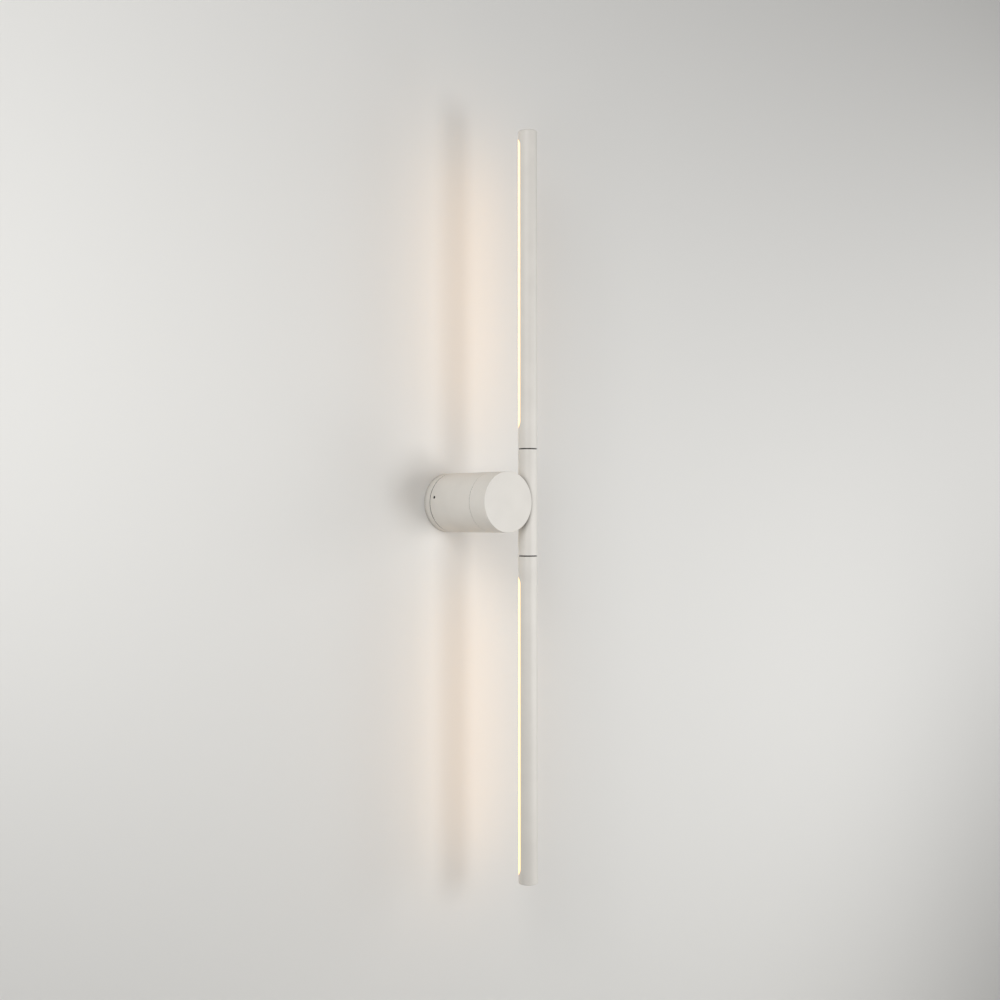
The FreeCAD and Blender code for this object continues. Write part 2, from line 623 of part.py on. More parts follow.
def bent_lead(name, role, first, corner, last, bend, profile_role, profile_lift):
    """A lead on an origin plane: from a point to a corner and on to a last point, square to the first run."""
    body = new_body(name)
    spine = sketch_on(body, role)
    points = [Vector(value(x), value(y), 0) for x, y in (first, corner, last)]
    come = (points[1] - points[0]).normalize()
    go = (points[2] - points[1]).normalize()
    radius = value(bend)
    arc_start, arc_end = points[1] - come * radius, points[1] + go * radius
    centre = arc_start + go * radius
    middle = centre + (come - go).normalize() * radius
    run_in = spine.addGeometry(Part.LineSegment(points[0], arc_start), False)
    turn_arc = spine.addGeometry(Part.Arc(arc_start, middle, arc_end), False)
    run_out = spine.addGeometry(Part.LineSegment(arc_end, points[2]), False)
    for edge in (run_in, turn_arc, run_out):
        spine.addConstraint(Sketcher.Constraint("Block", edge))
    section = sketch_on(body, profile_role, profile_lift)
    draw_circle(section, LEAD_R, *(("0", WIRE_WAY_Z) if profile_role == "XZ_Plane" else ("0", "0")))
    pipe = add_feature(body, "AdditivePipe", section)
    pipe.Spine = (spine, [])
    return body


def make_driver_leads():
    """Supply lead from the terminal block round to the driver, and output lead from the driver forwards."""
    entry = f"({BLOCK_LOW} + 4)"
    supply = bent_lead("supply_lead_form", "YZ_Plane", (entry, WIRE_WAY_Z), (LEAD_ENTRY_Y, WIRE_WAY_Z),
                       (LEAD_ENTRY_Y, f"{DRIVER_BACK} + 4"), "6", "XZ_Plane", f"-{entry}")
    output = ring("output_lead_form", "0", LEAD_R, f"{DRIVER_FRONT} - 4", f"{SPINDLE_BACK} - 2")
    at_axis = in_depth("0", "0", "0")
    keep_group("driver_leads", (supply, [at_axis]), (output, [at_axis]))


def make_head_lead():
    """Lead from behind the spindle, along its bore and across the head into the middle tube."""
    start = f"({SPINDLE_BACK} - 2 + dims.fit_close)"
    across = f"({TUBE_X} - {LEAD_R} - dims.play)"
    body = bent_lead("head_lead", "XZ_Plane", ("0", start), ("0", TUBE_DEPTH), (across, TUBE_DEPTH), "9",
                     "XY_Plane", start)
    place(body, rotation=DEPTH_FRAME)
    keep(body, "head_lead")


# Housing: a cup turned from bar, closed at the front by the web that the head turns on

def make_housing():
    """Drawn with its first set screw on the y axis, and turned to the set screw's angle by its placement."""
    body = new_body("housing")
    recess_in = "(dims.washer_inner / 2 - dims.fit_close)"
    recess_out = "(dims.washer_outer / 2 + dims.fit_close)"
    fine_break = "(dims.edge_break / 2)"
    turn(body, [
        (BODY_BORE_R, HOUSING_BACK),
        (f"{BODY_R} - dims.edge_break", HOUSING_BACK),
        (BODY_R, f"{HOUSING_BACK} + dims.edge_break"),
        (BODY_R, f"{HOUSING_FRONT} - {fine_break}"),
        (f"{BODY_R} - {fine_break}", HOUSING_FRONT),
        (recess_out, HOUSING_FRONT),
        (recess_out, WASHER_BACK),
        (recess_in, WASHER_BACK),
        (recess_in, HOUSING_FRONT),
        (f"{PIVOT_BUSH_R} + dims.fit_close", HOUSING_FRONT),
        (f"{PIVOT_BUSH_R} + dims.fit_close", WEB_BACK),
        (BODY_BORE_R, WEB_BACK),
    ])
    bore(body, "XZ_Plane", [(GRUB_R, "0", GRUB_Z)])
    pattern = body.newObject("PartDesign::PolarPattern", "grub_holes")
    pattern.Originals = [cuts[-1][1]]
    pattern.Axis = (next(f for f in body.Origin.OriginFeatures if f.Role == "Z_Axis"), [""])
    pattern.Angle = 360
    pattern.Occurrences = GRUB_COUNT
    body.Tip = pattern
    straight_down = polar("dims.stop_radius", "(-dims.grub_angle)")
    pin_hole = (f"{STOP_PIN_R} + dims.fit_close", *straight_down)
    bore(body, "XY_Plane", [pin_hole], lift=HOUSING_FRONT, length="dims.stop_seat")
    place(body, rotation=about_axis(value("dims.grub_angle - 90")))
    keep(body, "housing")


def make_housing_grub_screws():
    """Set screws sunk a little below the surface, with their points in the neck's groove."""
    seat_r = f"({BODY_R} - dims.grub_sunk)"
    length = f"({seat_r} - {NECK_GROOVE_R} - dims.fit_close)"
    form = screw("grub_form", f"({GRUB_R} - dims.fit_close)", length, socket="2")
    spots = []
    for i in range(GRUB_COUNT):
        angle = value("dims.grub_angle") + 360 * i / GRUB_COUNT
        outwards = Rotation(Vector(0, 0, 1), angle).multiply(Rotation(Vector(0, 1, 0), 90))
        spots.append(in_depth(*polar(seat_r, angle), GRUB_Z, outwards))
    keep_group("housing_grub_screws", (form, spots))


def make_pivot_bush():
    """Bronze bush in the web, with a collar on the inside that the disc spring bears on."""
    body = new_body("pivot_bush")
    turn(body, [
        (PIVOT_BORE_R, COLLAR_BACK),
        (COLLAR_R, COLLAR_BACK),
        (COLLAR_R, WEB_BACK),
        (PIVOT_BUSH_R, WEB_BACK),
        (PIVOT_BUSH_R, HOUSING_FRONT),
        (PIVOT_BORE_R, HOUSING_FRONT),
    ])
    place(body, rotation=DEPTH_FRAME)
    keep(body, "pivot_bush")


def make_friction_washer():
    front = f"({WASHER_BACK} + dims.washer_thick)"
    body = ring("friction_washer", "dims.washer_inner / 2", "dims.washer_outer / 2", WASHER_BACK, front)
    place(body, rotation=DEPTH_FRAME)
    keep(body, "friction_washer")


def make_stop_pin():
    """Dowel in the web, straight below the axis, that runs in the groove of the spindle's flange."""
    body = new_body("stop_pin")
    low = f"({HOUSING_FRONT} - dims.stop_seat)"
    high = f"({HOUSING_FRONT} + dims.stop_reach)"
    turn(body, [
        ("0", low),
        (STOP_PIN_R, low),
        (STOP_PIN_R, f"{high} - dims.edge_break"),
        (f"{STOP_PIN_R} - dims.edge_break", high),
        ("0", high),
    ])
    place(body, z="-dims.stop_radius", rotation=DEPTH_FRAME)
    keep(body, "stop_pin")


# Head: the shell with its saddle for the middle tube, closed at the back by the spindle's flange

CLAMP_HALF = "(dims.clamp_spacing / 2)"


def make_head_shell():
    body = new_body("head_shell")
    fine_break = "(dims.edge_break / 2)"
    turn(body, [
        (BODY_BORE_R, HEAD_BACK),
        (f"{BODY_R} - {fine_break}", HEAD_BACK),
        (BODY_R, f"{HEAD_BACK} + {fine_break}"),
        (BODY_R, f"{HEAD_FRONT} - dims.edge_break"),
        (f"{BODY_R} - dims.edge_break", HEAD_FRONT),
        ("0", HEAD_FRONT),
        ("0", HEAD_FLOOR),
        (BODY_BORE_R, HEAD_FLOOR),
    ])
    saddle_back = f"({FLANGE_FRONT} + dims.play)"
    half_height = f"({CLAMP_HALF} + 10)"
    in_wall = f"({BODY_R} - dims.shell_wall / 2)"
    corner_x = f"(sqrt({in_wall} ^ 2 - {half_height} ^ 2))"
    saddle = sketch_on(body, "XY_Plane", saddle_back)
    draw_polygon(saddle, [
        (SADDLE_X, f"-{half_height}"),
        (corner_x, f"-{half_height}"),
        (in_wall, "-6"),
        (in_wall, "6"),
        (corner_x, half_height),
        (SADDLE_X, half_height),
    ])
    pad(body, saddle, f"{HEAD_FLOOR} + 1 - {saddle_back}")
    bosses = sketch_on(body, "XY_Plane", FLANGE_FRONT)
    for angle in BOSS_ANGLES:
        draw_circle(bosses, "4", *polar("dims.flange_screw_radius", angle))
    pad(body, bosses, f"{HEAD_FLOOR} + 1 - {FLANGE_FRONT}")
    taps = [(M3_TAP_R, *polar("dims.flange_screw_radius", angle)) for angle in BOSS_ANGLES]
    bore(body, "XY_Plane", taps, lift=FLANGE_FRONT, length="10", along=True)
    seat = (f"{TUBE_R} + dims.fit_close", TUBE_X, TUBE_DEPTH)
    bore(body, "XZ_Plane", [seat], symmetric=True)
    screw_holes = [(M4_CLEAR_R, f"{side}{CLAMP_HALF}", TUBE_DEPTH) for side in ("-", "")]
    bore(body, "YZ_Plane", screw_holes + [("3.5", "0", TUBE_DEPTH)], along=True)
    place(body, rotation=DEPTH_FRAME)
    keep(body, "head_shell")


FLANGE_HEAD_DEPTH = "2.3"


def make_pivot_spindle():
    """Flange and hollow spindle turned in one. Its stop groove ends at a rib opposite the stop pin.

    Drawn with the groove's middle on the x axis, and turned to straight down by its placement.
    """
    body = new_body("pivot_spindle")
    bore_r = "(dims.spindle_bore / 2)"
    flange_r = f"({BODY_BORE_R} - dims.fit_slip)"
    turn(body, [
        (bore_r, SPINDLE_BACK),
        (f"{SPINDLE_R} - dims.edge_break", SPINDLE_BACK),
        (SPINDLE_R, f"{SPINDLE_BACK} + dims.edge_break"),
        (SPINDLE_R, FLANGE_BACK),
        (flange_r, FLANGE_BACK),
        (flange_r, FLANGE_FRONT),
        (bore_r, FLANGE_FRONT),
    ])
    half_groove = f"({STOP_PIN_R} + dims.stop_play)"
    groove_floor = f"({HOUSING_FRONT} + dims.stop_reach + dims.stop_play)"
    pin_half_angle = f"asin({STOP_PIN_R} / dims.stop_radius) / 1 deg"
    turn_groove(body, [
        (f"dims.stop_radius - {half_groove}", FLANGE_BACK),
        (f"dims.stop_radius + {half_groove}", FLANGE_BACK),
        (f"dims.stop_radius + {half_groove}", groove_floor),
        (f"dims.stop_radius - {half_groove}", groove_floor),
    ], f"2 * (dims.head_range + {STOP_SLACK_DEG} + {pin_half_angle})")
    flats = sketch_on(body, "XY_Plane", SPINDLE_BACK)
    for side in ("-", ""):
        near, far = f"{side}dims.key_flats / 2", f"{side}({SPINDLE_R} + 1)"
        draw_box(flats, near, far, f"-{SPINDLE_R}", SPINDLE_R)
    cut_away(body, flats, f"{SPRING_BACK} - {SPINDLE_BACK}", along=True)
    for radius, depth in ((M3_CLEAR_R, "dims.flange_thick"), ("3", FLANGE_HEAD_DEPTH)):
        spots = [polar("dims.flange_screw_radius", angle + 90) for angle in BOSS_ANGLES]
        bore(body, "XY_Plane", [(radius, *spot) for spot in spots], lift=FLANGE_BACK, length=depth, along=True)
    place(body, rotation=about_axis(-90))
    keep(body, "pivot_spindle")


def make_flange_screws():
    """Screws from the back, with their heads sunk in the flange."""
    form = screw("flange_screw_form", M3_SHANK_R, "9", socket="2", head_r="2.75", head="2")
    away = Rotation(Vector(1, 0, 0), 180)
    seat = f"({FLANGE_BACK} + {FLANGE_HEAD_DEPTH})"
    spots = [in_depth(*polar("dims.flange_screw_radius", angle), seat, away) for angle in BOSS_ANGLES]
    keep_group("flange_screws", (form, spots))


def make_disc_spring():
    """Conical spring washer that presses the head against the friction washer."""
    body = new_body("disc_spring")
    inner, outer = f"({SPINDLE_R} + dims.fit_slip)", f"({COLLAR_R} - 0.5)"
    turn(body, [
        (outer, SPRING_FRONT),
        (outer, f"{SPRING_FRONT} - dims.spring_thick"),
        (inner, SPRING_BACK),
        (inner, f"{SPRING_BACK} + dims.spring_thick"),
    ])
    place(body, rotation=DEPTH_FRAME)
    keep(body, "disc_spring")


def make_thrust_washer():
    """Washer keyed on the spindle's flats, so that turning the head can't loosen the nut."""
    body = new_body("thrust_washer")
    disc = sketch_on(body, "XY_Plane", THRUST_BACK)
    draw_circle(disc, f"{COLLAR_R} - 1")
    pad(body, disc, "dims.thrust_thick")
    radius, flat = f"({SPINDLE_R} + dims.fit_slip)", "(dims.key_flats / 2 + dims.fit_slip)"
    half_deg = math.degrees(math.acos(value(flat) / value(radius)))
    reach = value(radius) * math.sin(math.radians(half_deg))
    x = value(flat)
    hole = sketch_on(body, "XY_Plane", THRUST_BACK)
    top = draw_arc(hole, radius, "0", "0", half_deg, 180 - half_deg)
    low = draw_arc(hole, radius, "0", "0", 180 + half_deg, 360 - half_deg)
    left = draw_line(hole, (-x, reach), (-x, -reach))
    right = draw_line(hole, (x, -reach), (x, reach))
    join(hole, "Coincident", (top, 2, left, 1), (left, 2, low, 1), (low, 2, right, 1), (right, 2, top, 1))
    join(hole, "Vertical", (left,), (right,))
    bind(hole, "DistanceX", -1, 1, left, 1, size=f"-{flat}")
    bind(hole, "DistanceX", -1, 1, right, 1, size=flat)
    cut_away(body, hole, along=True)
    place(body, rotation=about_axis(-90))
    keep(body, "thrust_washer")


def make_pivot_nut():
    body = new_body("pivot_nut")
    outline = sketch_on(body, "XY_Plane", NUT_BACK)
    draw_hexagon(outline, "dims.nut_across")
    draw_circle(outline, f"{SPINDLE_R} + dims.fit_close")
    pad(body, outline, "dims.nut_thick")
    place(body, rotation=DEPTH_FRAME)
    keep(body, "pivot_nut")


# Middle tube, pulled into the saddle from inside the head

AT_TUBE = {"x": TUBE_X, "y": f"-{TUBE_DEPTH}"}


def make_centre_tube():
    body = ring("centre_tube", TUBE_BORE_R, TUBE_R, f"-{CENTRE_END}", CENTRE_END)
    clamp_holes = [(M4_CLEAR_R, "0", f"{side}{CLAMP_HALF}") for side in ("-", "")]
    bore(body, "YZ_Plane", clamp_holes + [("3.5", "0", "0")])
    bore(body, "XZ_Plane", [(DOG_HOLE_R, "0", f"{side}{DOG_Z}") for side in ("-", "")])
    place(body, **AT_TUBE)
    keep(body, "centre_tube")


def make_clamp_bar():
    """Part-round bar in the middle tube, tapped for the two clamp screws.

    Drawn with its flat facing y, and turned by its placement so that the flat faces away from the head.
    """
    body = new_body("clamp_bar")
    end = f"({CLAMP_HALF} + 8)"
    section = sketch_on(body, "XY_Plane", f"-{end}")
    draw_segment(section, PLUG_R, "(-dims.clamp_flat)")
    pad(body, section, f"2 * {end}")
    holes = [(M4_TAP_R, "0", f"{side}{CLAMP_HALF}") for side in ("-", "")]
    bore(body, "XZ_Plane", holes + [("3.5", "0", "0")], along=True)
    place(body, **AT_TUBE, rotation=Rotation(Vector(0, 0, 1), -90))
    keep(body, "clamp_bar")


def make_clamp_screws():
    """Cap screws from inside the head, through the saddle and the tube's wall into the clamp bar."""
    length = f"({TUBE_X} - dims.clamp_flat - {SADDLE_X})"
    form = screw("clamp_screw_form", M4_SHANK_R, length, socket="3", head_r="3.5", head="4")
    to_tube = Rotation(Vector(0, 1, 0), -90)
    spots = [in_depth(SADDLE_X, f"{side}{CLAMP_HALF}", TUBE_DEPTH, to_tube) for side in ("-", "")]
    keep_group("clamp_screws", (form, spots))


# Swivel between the middle tube and a light tube: bush, stop screw and spigot

SIDES = {"upper": Rotation(), "lower": Rotation(Vector(0, 1, 0), 180)}


def at_tube(rotation, x=0.0, y=0.0, z=0.0):
    """A placement in the tube frame, turned about the tubes' axis."""
    origin = Placement(Vector(value(TUBE_X), -value(TUBE_DEPTH), 0), rotation)
    return origin.multiply(Placement(Vector(x, y, z), Rotation()))


def make_joint_bush(side):
    """Black plastic bush. Its collar is the dark ring between the tubes."""
    body = new_body(f"{side}_joint_bush")
    collar_r = f"({TUBE_R} - dims.reveal_inset)"
    turn(body, [
        (JOINT_BORE_R, BUSH_START),
        (PLUG_R, BUSH_START),
        (PLUG_R, CENTRE_END),
        (collar_r, CENTRE_END),
        (collar_r, f"{ARM_START} - dims.play"),
        (JOINT_BORE_R, f"{ARM_START} - dims.play"),
    ])
    bore(body, "XZ_Plane", [(DOG_HOLE_R, "0", DOG_Z)])
    place(body, **AT_TUBE, rotation=SIDES[side])
    keep(body, f"{side}_joint_bush")


def make_joint_stop_screws():
    """Two dog-point screws on the wall side, whose points run in the spigots' grooves."""
    form = new_body("stop_screw_form")
    top = f"({TUBE_R} - dims.stop_play)"
    neck = f"({SHANK_R} + dims.play)"
    tip = f"({GROOVE_R} + dims.stop_play)"
    turn(form, [("0", tip), (DOG_R, tip), (DOG_R, neck), (DOG_SCREW_R, neck), (DOG_SCREW_R, top), ("0", top)])
    socket = sketch_on(form, "XY_Plane", top)
    draw_hexagon(socket, "1.5")
    cut_away(form, socket, "1.8")
    to_wall = Placement(Vector(), Rotation(Vector(1, 0, 0), -90))
    heights = (value(DOG_Z), -value(DOG_Z))
    spots = [at_tube(Rotation(), z=height).multiply(to_wall) for height in heights]
    keep_group("joint_stop_screws", (form, spots))


def arm_rotation(side):
    """A light tube's turn as installed."""
    return Rotation(Vector(0, 0, 1), value("dims.arm_turn")).multiply(SIDES[side])


def keep_on_arm(piece, side, name, drawn_turn=Rotation()):
    place(piece, **AT_TUBE, rotation=arm_rotation(side).multiply(drawn_turn))
    keep(piece, f"{side}_{name}")


def make_spigot(side):
    """Turned spigot: the shank runs in the bush, the plug is fixed in the light tube.

    Drawn with the middle of its stop groove on the x axis, which its placement turns to the wall. The
    rib that ends the groove is then on the side away from the wall.
    """
    body = new_body(f"{side}_spigot")
    bore_r = "(dims.spigot_bore / 2)"
    turn(body, [
        (bore_r, SHANK_START),
        (f"{SHANK_R} - dims.edge_break", SHANK_START),
        (SHANK_R, f"{SHANK_START} + dims.edge_break"),
        (SHANK_R, ARM_START),
        (PLUG_R, ARM_START),
        (PLUG_R, PLUG_END),
        (bore_r, PLUG_END),
    ])
    outside = f"({SHANK_R} + 1)"
    half_groove = f"({DOG_R} + dims.stop_play)"
    dog_half_angle = f"asin({DOG_R} / {GROOVE_R}) / 1 deg"
    turn_groove(body, [
        (GROOVE_R, f"{DOG_Z} - {half_groove}"),
        (outside, f"{DOG_Z} - {half_groove}"),
        (outside, f"{DOG_Z} + {half_groove}"),
        (GROOVE_R, f"{DOG_Z} + {half_groove}"),
    ], f"2 * (dims.arm_range + {STOP_SLACK_DEG} + {dog_half_angle})")
    bore(body, "YZ_Plane", [(PIN_HOLE_R, "0", PIN_Z)], along=True)
    keep_on_arm(body, side, "spigot", Rotation(Vector(0, 0, 1), 90))


def make_roll_pin(side):
    """Rolled pin through the light tube's wall and the spigot's plug, on the wall side."""
    inner_end = "(dims.spigot_bore / 2 + dims.play)"
    body = ring(f"{side}_roll_pin", "(dims.roll_pin / 4)", "dims.roll_pin / 2", inner_end,
                f"{TUBE_R} - dims.play")
    height = PIN_Z if side == "upper" else f"-{PIN_Z}"
    turned = Rotation(Vector(0, 0, 1), value("dims.arm_turn")).multiply(Rotation(Vector(1, 0, 0), -90))
    place(body, **AT_TUBE, z=height, rotation=turned)
    keep(body, f"{side}_roll_pin")


# Light tube: the wall side is milled off flat between two run-outs, and the diffuser fills the window

def draw_window(sketch, gap):
    """The window from the side, a gap inside its edge: a straight edge with a quarter-round at each end."""
    radius = f"(dims.window_runout - {gap})"
    centre_y = "(dims.window_flat + dims.window_runout)"
    low, high = f"({WINDOW_LOW} + dims.window_runout)", f"({WINDOW_HIGH} - dims.window_runout)"
    start = draw_arc(sketch, radius, centre_y, low, 180, 270)
    end = draw_arc(sketch, radius, centre_y, high, 90, 180)
    y_flat, y_mouth = value(f"{centre_y} - {radius}"), value(centre_y)
    edge = draw_line(sketch, (y_flat, value(high)), (y_flat, value(low)))
    mouth = draw_line(sketch, (y_mouth, value(f"{low} - {radius}")), (y_mouth, value(f"{high} + {radius}")))
    join(sketch, "Tangent", (end, 2, edge, 1), (edge, 2, start, 1))
    join(sketch, "Coincident", (start, 2, mouth, 1), (mouth, 2, end, 1))
    join(sketch, "Vertical", (mouth,))
    bind(sketch, "DistanceX", -1, 1, mouth, 1, size=centre_y)


def make_light_tube(side):
    body = ring(f"{side}_tube", TUBE_BORE_R, TUBE_R, ARM_START, CAP_START)
    window = sketch_on(body, "YZ_Plane")
    draw_window(window, "0")
    cut_away(body, window, symmetric=True)
    bore(body, "XZ_Plane", [(PIN_HOLE_R, "0", PIN_Z)])
    keep_on_arm(body, side, "tube")


def make_diffuser(side):
    """Opal cover, flush with the tube in its window, on lips that stand on the LED carrier's shoulders."""
    cover = ring(f"{side}_diffuser_cover", f"{PLUG_R} - dims.lip_thick / 2", TUBE_R, WINDOW_LOW, WINDOW_HIGH)
    window = new_body(f"{side}_diffuser_window")
    outline = sketch_on(window, "YZ_Plane")
    draw_window(outline, "dims.fit_slip")
    pad(window, outline, "dims.tube_diameter", symmetric=True)
    flush = doc.addObject("Part::Common", f"{side}_diffuser_flush")
    flush.Base, flush.Tool = cover, window
    lips = ring(f"{side}_diffuser_lips", f"{PLUG_R} - dims.lip_thick", PLUG_R,
                f"{WINDOW_LOW} + dims.board_inset", f"{WINDOW_HIGH} - dims.board_inset")
    below = sketch_on(lips, "XY_Plane", f"{WINDOW_LOW}")
    draw_box(below, f"-{TUBE_R}", TUBE_R, f"-{TUBE_R}", "dims.fit_close - dims.carrier_flat")
    cut_away(lips, below, along=True)
    diffuser = doc.addObject("Part::Fuse", f"{side}_diffuser")
    diffuser.Base, diffuser.Tool = flush, lips
    keep_on_arm(diffuser, side, "diffuser")


def make_led_carrier(side):
    """Extruded D-shaped heat sink in the tube, with the board on its flat."""
    body = new_body(f"{side}_led_carrier")
    section = sketch_on(body, "XY_Plane", f"{PLUG_END} + dims.play")
    draw_segment(section, PLUG_R, "(-dims.carrier_flat)")
    draw_segment(section, f"({PLUG_R} - dims.carrier_wall)", "(-dims.carrier_flat - dims.carrier_wall)")
    pad(body, section, f"{CAP_PLUG_START} - {PLUG_END} - 2 * dims.play")
    keep_on_arm(body, side, "led_carrier")


def make_led_board(side):
    body = new_body(f"{side}_led_board")
    section = sketch_on(body, "XY_Plane", BOARD_LOW)
    draw_box(section, "-dims.board_width / 2", "dims.board_width / 2", "-dims.carrier_flat", BOARD_TOP)
    pad(body, section, f"{BOARD_HIGH} - {BOARD_LOW}")
    keep_on_arm(body, side, "led_board")


def make_leds(side):
    """A row of square LED packages on the board."""
    form = new_body(f"{side}_led_form")
    half = "(dims.led_width / 2)"
    section = sketch_on(form, "XY_Plane", f"-{half}")
    draw_box(section, f"-{half}", half, BOARD_TOP, f"{BOARD_TOP} + dims.led_height")
    pad(form, section, "dims.led_width")
    pitch = value(f"{BOARD_HIGH} - {BOARD_LOW}") / LEDS_PER_TUBE
    first = value(BOARD_LOW) + pitch / 2
    spots = [at_tube(arm_rotation(side), z=first + pitch * i) for i in range(LEDS_PER_TUBE)]
    keep_group(f"{side}_leds", (form, spots))


def make_arm_lead(side):
    """Lead up the tubes' axis, through the spigot to the end of the board."""
    start = f"({LEAD_R} / 10)"
    body = ring(f"{side}_lead", "0", LEAD_R, start, f"{BOARD_LOW} - dims.fit_close")
    keep_on_arm(body, side, "lead")


def make_end_cap(side):
    """Disc with a chamfered rim on a plug."""
    body = new_body(f"{side}_end_cap")
    turn(body, [
        ("0", CAP_PLUG_START),
        (PLUG_R, CAP_PLUG_START),
        (PLUG_R, CAP_START),
        (TUBE_R, CAP_START),
        (TUBE_R, f"{ARM_END} - dims.cap_chamfer"),
        (f"{TUBE_R} - dims.cap_chamfer", ARM_END),
        ("0", ARM_END),
    ])
    keep_on_arm(body, side, "end_cap")


make_wall_plate()
make_cable_grommet()
make_earth_screw()
make_terminal_block()
make_terminal_screws()
make_bracket_pillars()
make_bracket_screws()
make_driver_bracket()
make_led_driver()
make_driver_screws()
make_driver_leads()
make_housing()
make_housing_grub_screws()
make_pivot_bush()
make_friction_washer()
make_stop_pin()
make_head_shell()
make_pivot_spindle()
make_flange_screws()
make_disc_spring()
make_thrust_washer()
make_pivot_nut()
make_head_lead()
make_centre_tube()
make_clamp_bar()
make_clamp_screws()
make_joint_stop_screws()
for arm_side in SIDES:
    make_joint_bush(arm_side)
    make_spigot(arm_side)
    make_light_tube(arm_side)
    make_roll_pin(arm_side)
    make_led_carrier(arm_side)
    make_led_board(arm_side)
    make_leds(arm_side)
    make_arm_lead(arm_side)
    make_diffuser(arm_side)
    make_end_cap(arm_side)

# Every object must have been computed, and every cut must have taken material, before anything is written
doc.recompute()
for item in doc.Objects:
    if {"Invalid", "Error"} & set(item.State):
        raise RuntimeError(f"{item.Name} failed: {item.State}")
for solid_before, pocket in cuts:
    if solid_before.Shape.Volume - pocket.Shape.Volume < 0.01:
        raise RuntimeError(f"{pocket.Name} cuts nothing")
for piece in finished:
    if piece.Shape.isNull() or not piece.Shape.isValid() or not piece.Shape.Solids:
        raise RuntimeError(f"{piece.Label} has no valid solid")

os.makedirs("parts", exist_ok=True)
for piece in finished:
    piece.Shape.exportStep(f"parts/{piece.Label}.step")
print(f"{len(finished)} sub-parts written")
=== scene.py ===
"""Looks of the tube wall light: finishes for every piece, and the room that it hangs in."""

import math

import bpy
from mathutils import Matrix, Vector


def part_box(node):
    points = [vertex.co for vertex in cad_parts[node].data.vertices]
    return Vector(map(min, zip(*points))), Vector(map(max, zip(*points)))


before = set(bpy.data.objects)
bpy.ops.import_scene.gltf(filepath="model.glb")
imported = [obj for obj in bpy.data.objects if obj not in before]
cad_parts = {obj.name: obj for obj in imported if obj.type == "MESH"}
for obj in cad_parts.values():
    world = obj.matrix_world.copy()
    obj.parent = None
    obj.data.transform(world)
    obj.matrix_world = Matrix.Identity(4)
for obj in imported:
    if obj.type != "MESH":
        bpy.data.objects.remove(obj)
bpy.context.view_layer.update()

# ----------------------------------------------------------------------------------------------------
# Camera: stands in the room to the left of the light, a little below its middle, and looks slightly up.
# Its place and its 50 mm lens come from the outlines of the round head and of the tubes' ends in the
# photograph.
CAMERA_PLACE = (-1.162, -1.536, -0.0208)
CAMERA_TURN = 39.25
CAMERA_TILT = 2.85
CAMERA_LENS = 50.4
CAMERA_SHIFT = -0.0517

camera = bpy.data.objects.new("photo_camera", bpy.data.cameras.new("photo_camera"))
camera.data.lens = CAMERA_LENS
camera.data.shift_y = CAMERA_SHIFT
camera.location = CAMERA_PLACE
camera.rotation_euler = (math.radians(90 + CAMERA_TILT), 0, math.radians(-CAMERA_TURN))
bpy.context.scene.collection.objects.link(camera)
bpy.context.scene.camera = camera

# ----------------------------------------------------------------------------------------------------
# Shells: wall plate, housing, head, the three tubes and their end caps. They are turned or extruded
# aluminium with a baked polyester powder coat: warm off-white and satin, its fine orange peel softens every
# highlight. Painted shade darkens the two parting lines and the inner corners.
COAT = "#DEDAD3"
COAT_THIN = "#D8D4CD"
COAT_CLOUD = 0.035
COAT_PEEL = 0.0011
COAT_PEEL_RELIEF = 0.00002
COAT_GRAIN = 0.00035
COAT_GLOSS = (0.42, 0.52)
# A noise hardly leaves these bounds, and the product of two noises hardly leaves the narrower ones.
NOISE_SPAN = (0.3, 0.7)
TWO_NOISES_SPAN = (0.15, 0.35)
# Colour of the painted shade drawn into the two parting lines, where the gaps' shadow falls.
PAINTED_GAP_SHADE = "#2E2B28"
# Each band of painted shade: name, depth from the wall, half width and outer radius.
PAINTED_SHADE_LINES = [
    ("wall_plate_gap", 0.0130, 0.0007, 0.03965),
    ("head_seam", 0.0992, 0.0003, 0.0397),
]
# Painted shade: an ambient-occlusion node darkens inner corners towards a grey. The wall plate's back
# counts as open.
COAT_PAINTED_SHADE = "#6C675F"
PAINTED_SHADE_WITHIN = 0.012
PAINTED_SHADE_SPAN = (0.25, 0.8)
PLATE_BACK = 0.0004
COATED = [
    "wall_plate", "housing", "head_shell", "centre_tube",
    "upper_tube", "lower_tube", "upper_end_cap", "lower_end_cap",
]


def linear(hex_colour):
    """A hex colour as the linear red, green, blue and alpha that a shader takes."""
    parts = [int(hex_colour[i:i + 2], 16) / 255 for i in (1, 3, 5)]
    return [p / 12.92 if p <= 0.04045 else ((p + 0.055) / 1.055) ** 2.4 for p in parts] + [1.0]


def plug(tree, node, inputs):
    """Sets a node's inputs: to a value, or linked from a socket or from a node's first output."""
    for name, value in inputs.items():
        if isinstance(value, bpy.types.Node):
            value = value.outputs[0]
        if isinstance(value, bpy.types.NodeSocket):
            tree.links.new(value, node.inputs[name])
        else:
            node.inputs[name].default_value = value


def add_node(tree, kind, inputs=None, **settings):
    """Adds one shader node with its settings and links."""
    made = tree.nodes.new("ShaderNode" + kind)
    for name, value in settings.items():
        setattr(made, name, value)
    plug(tree, made, inputs or {})
    return made


def new_finish(name, **surface_inputs):
    """A material's tree, its Principled surface and the object coordinates that its patterns read."""
    finish = bpy.data.materials.new(name)
    finish.use_nodes = True
    tree = finish.node_tree
    surface = tree.nodes["Principled BSDF"]
    plug(tree, surface, {key.replace("_", " "): value for key, value in surface_inputs.items()})
    return finish, tree, surface, add_node(tree, "TexCoord").outputs["Object"]


def dress(finish, nodes):
    """Gives the finish to these pieces of the frame."""
    for name in nodes:
        for material_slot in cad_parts[name].material_slots:
            material_slot.material = finish


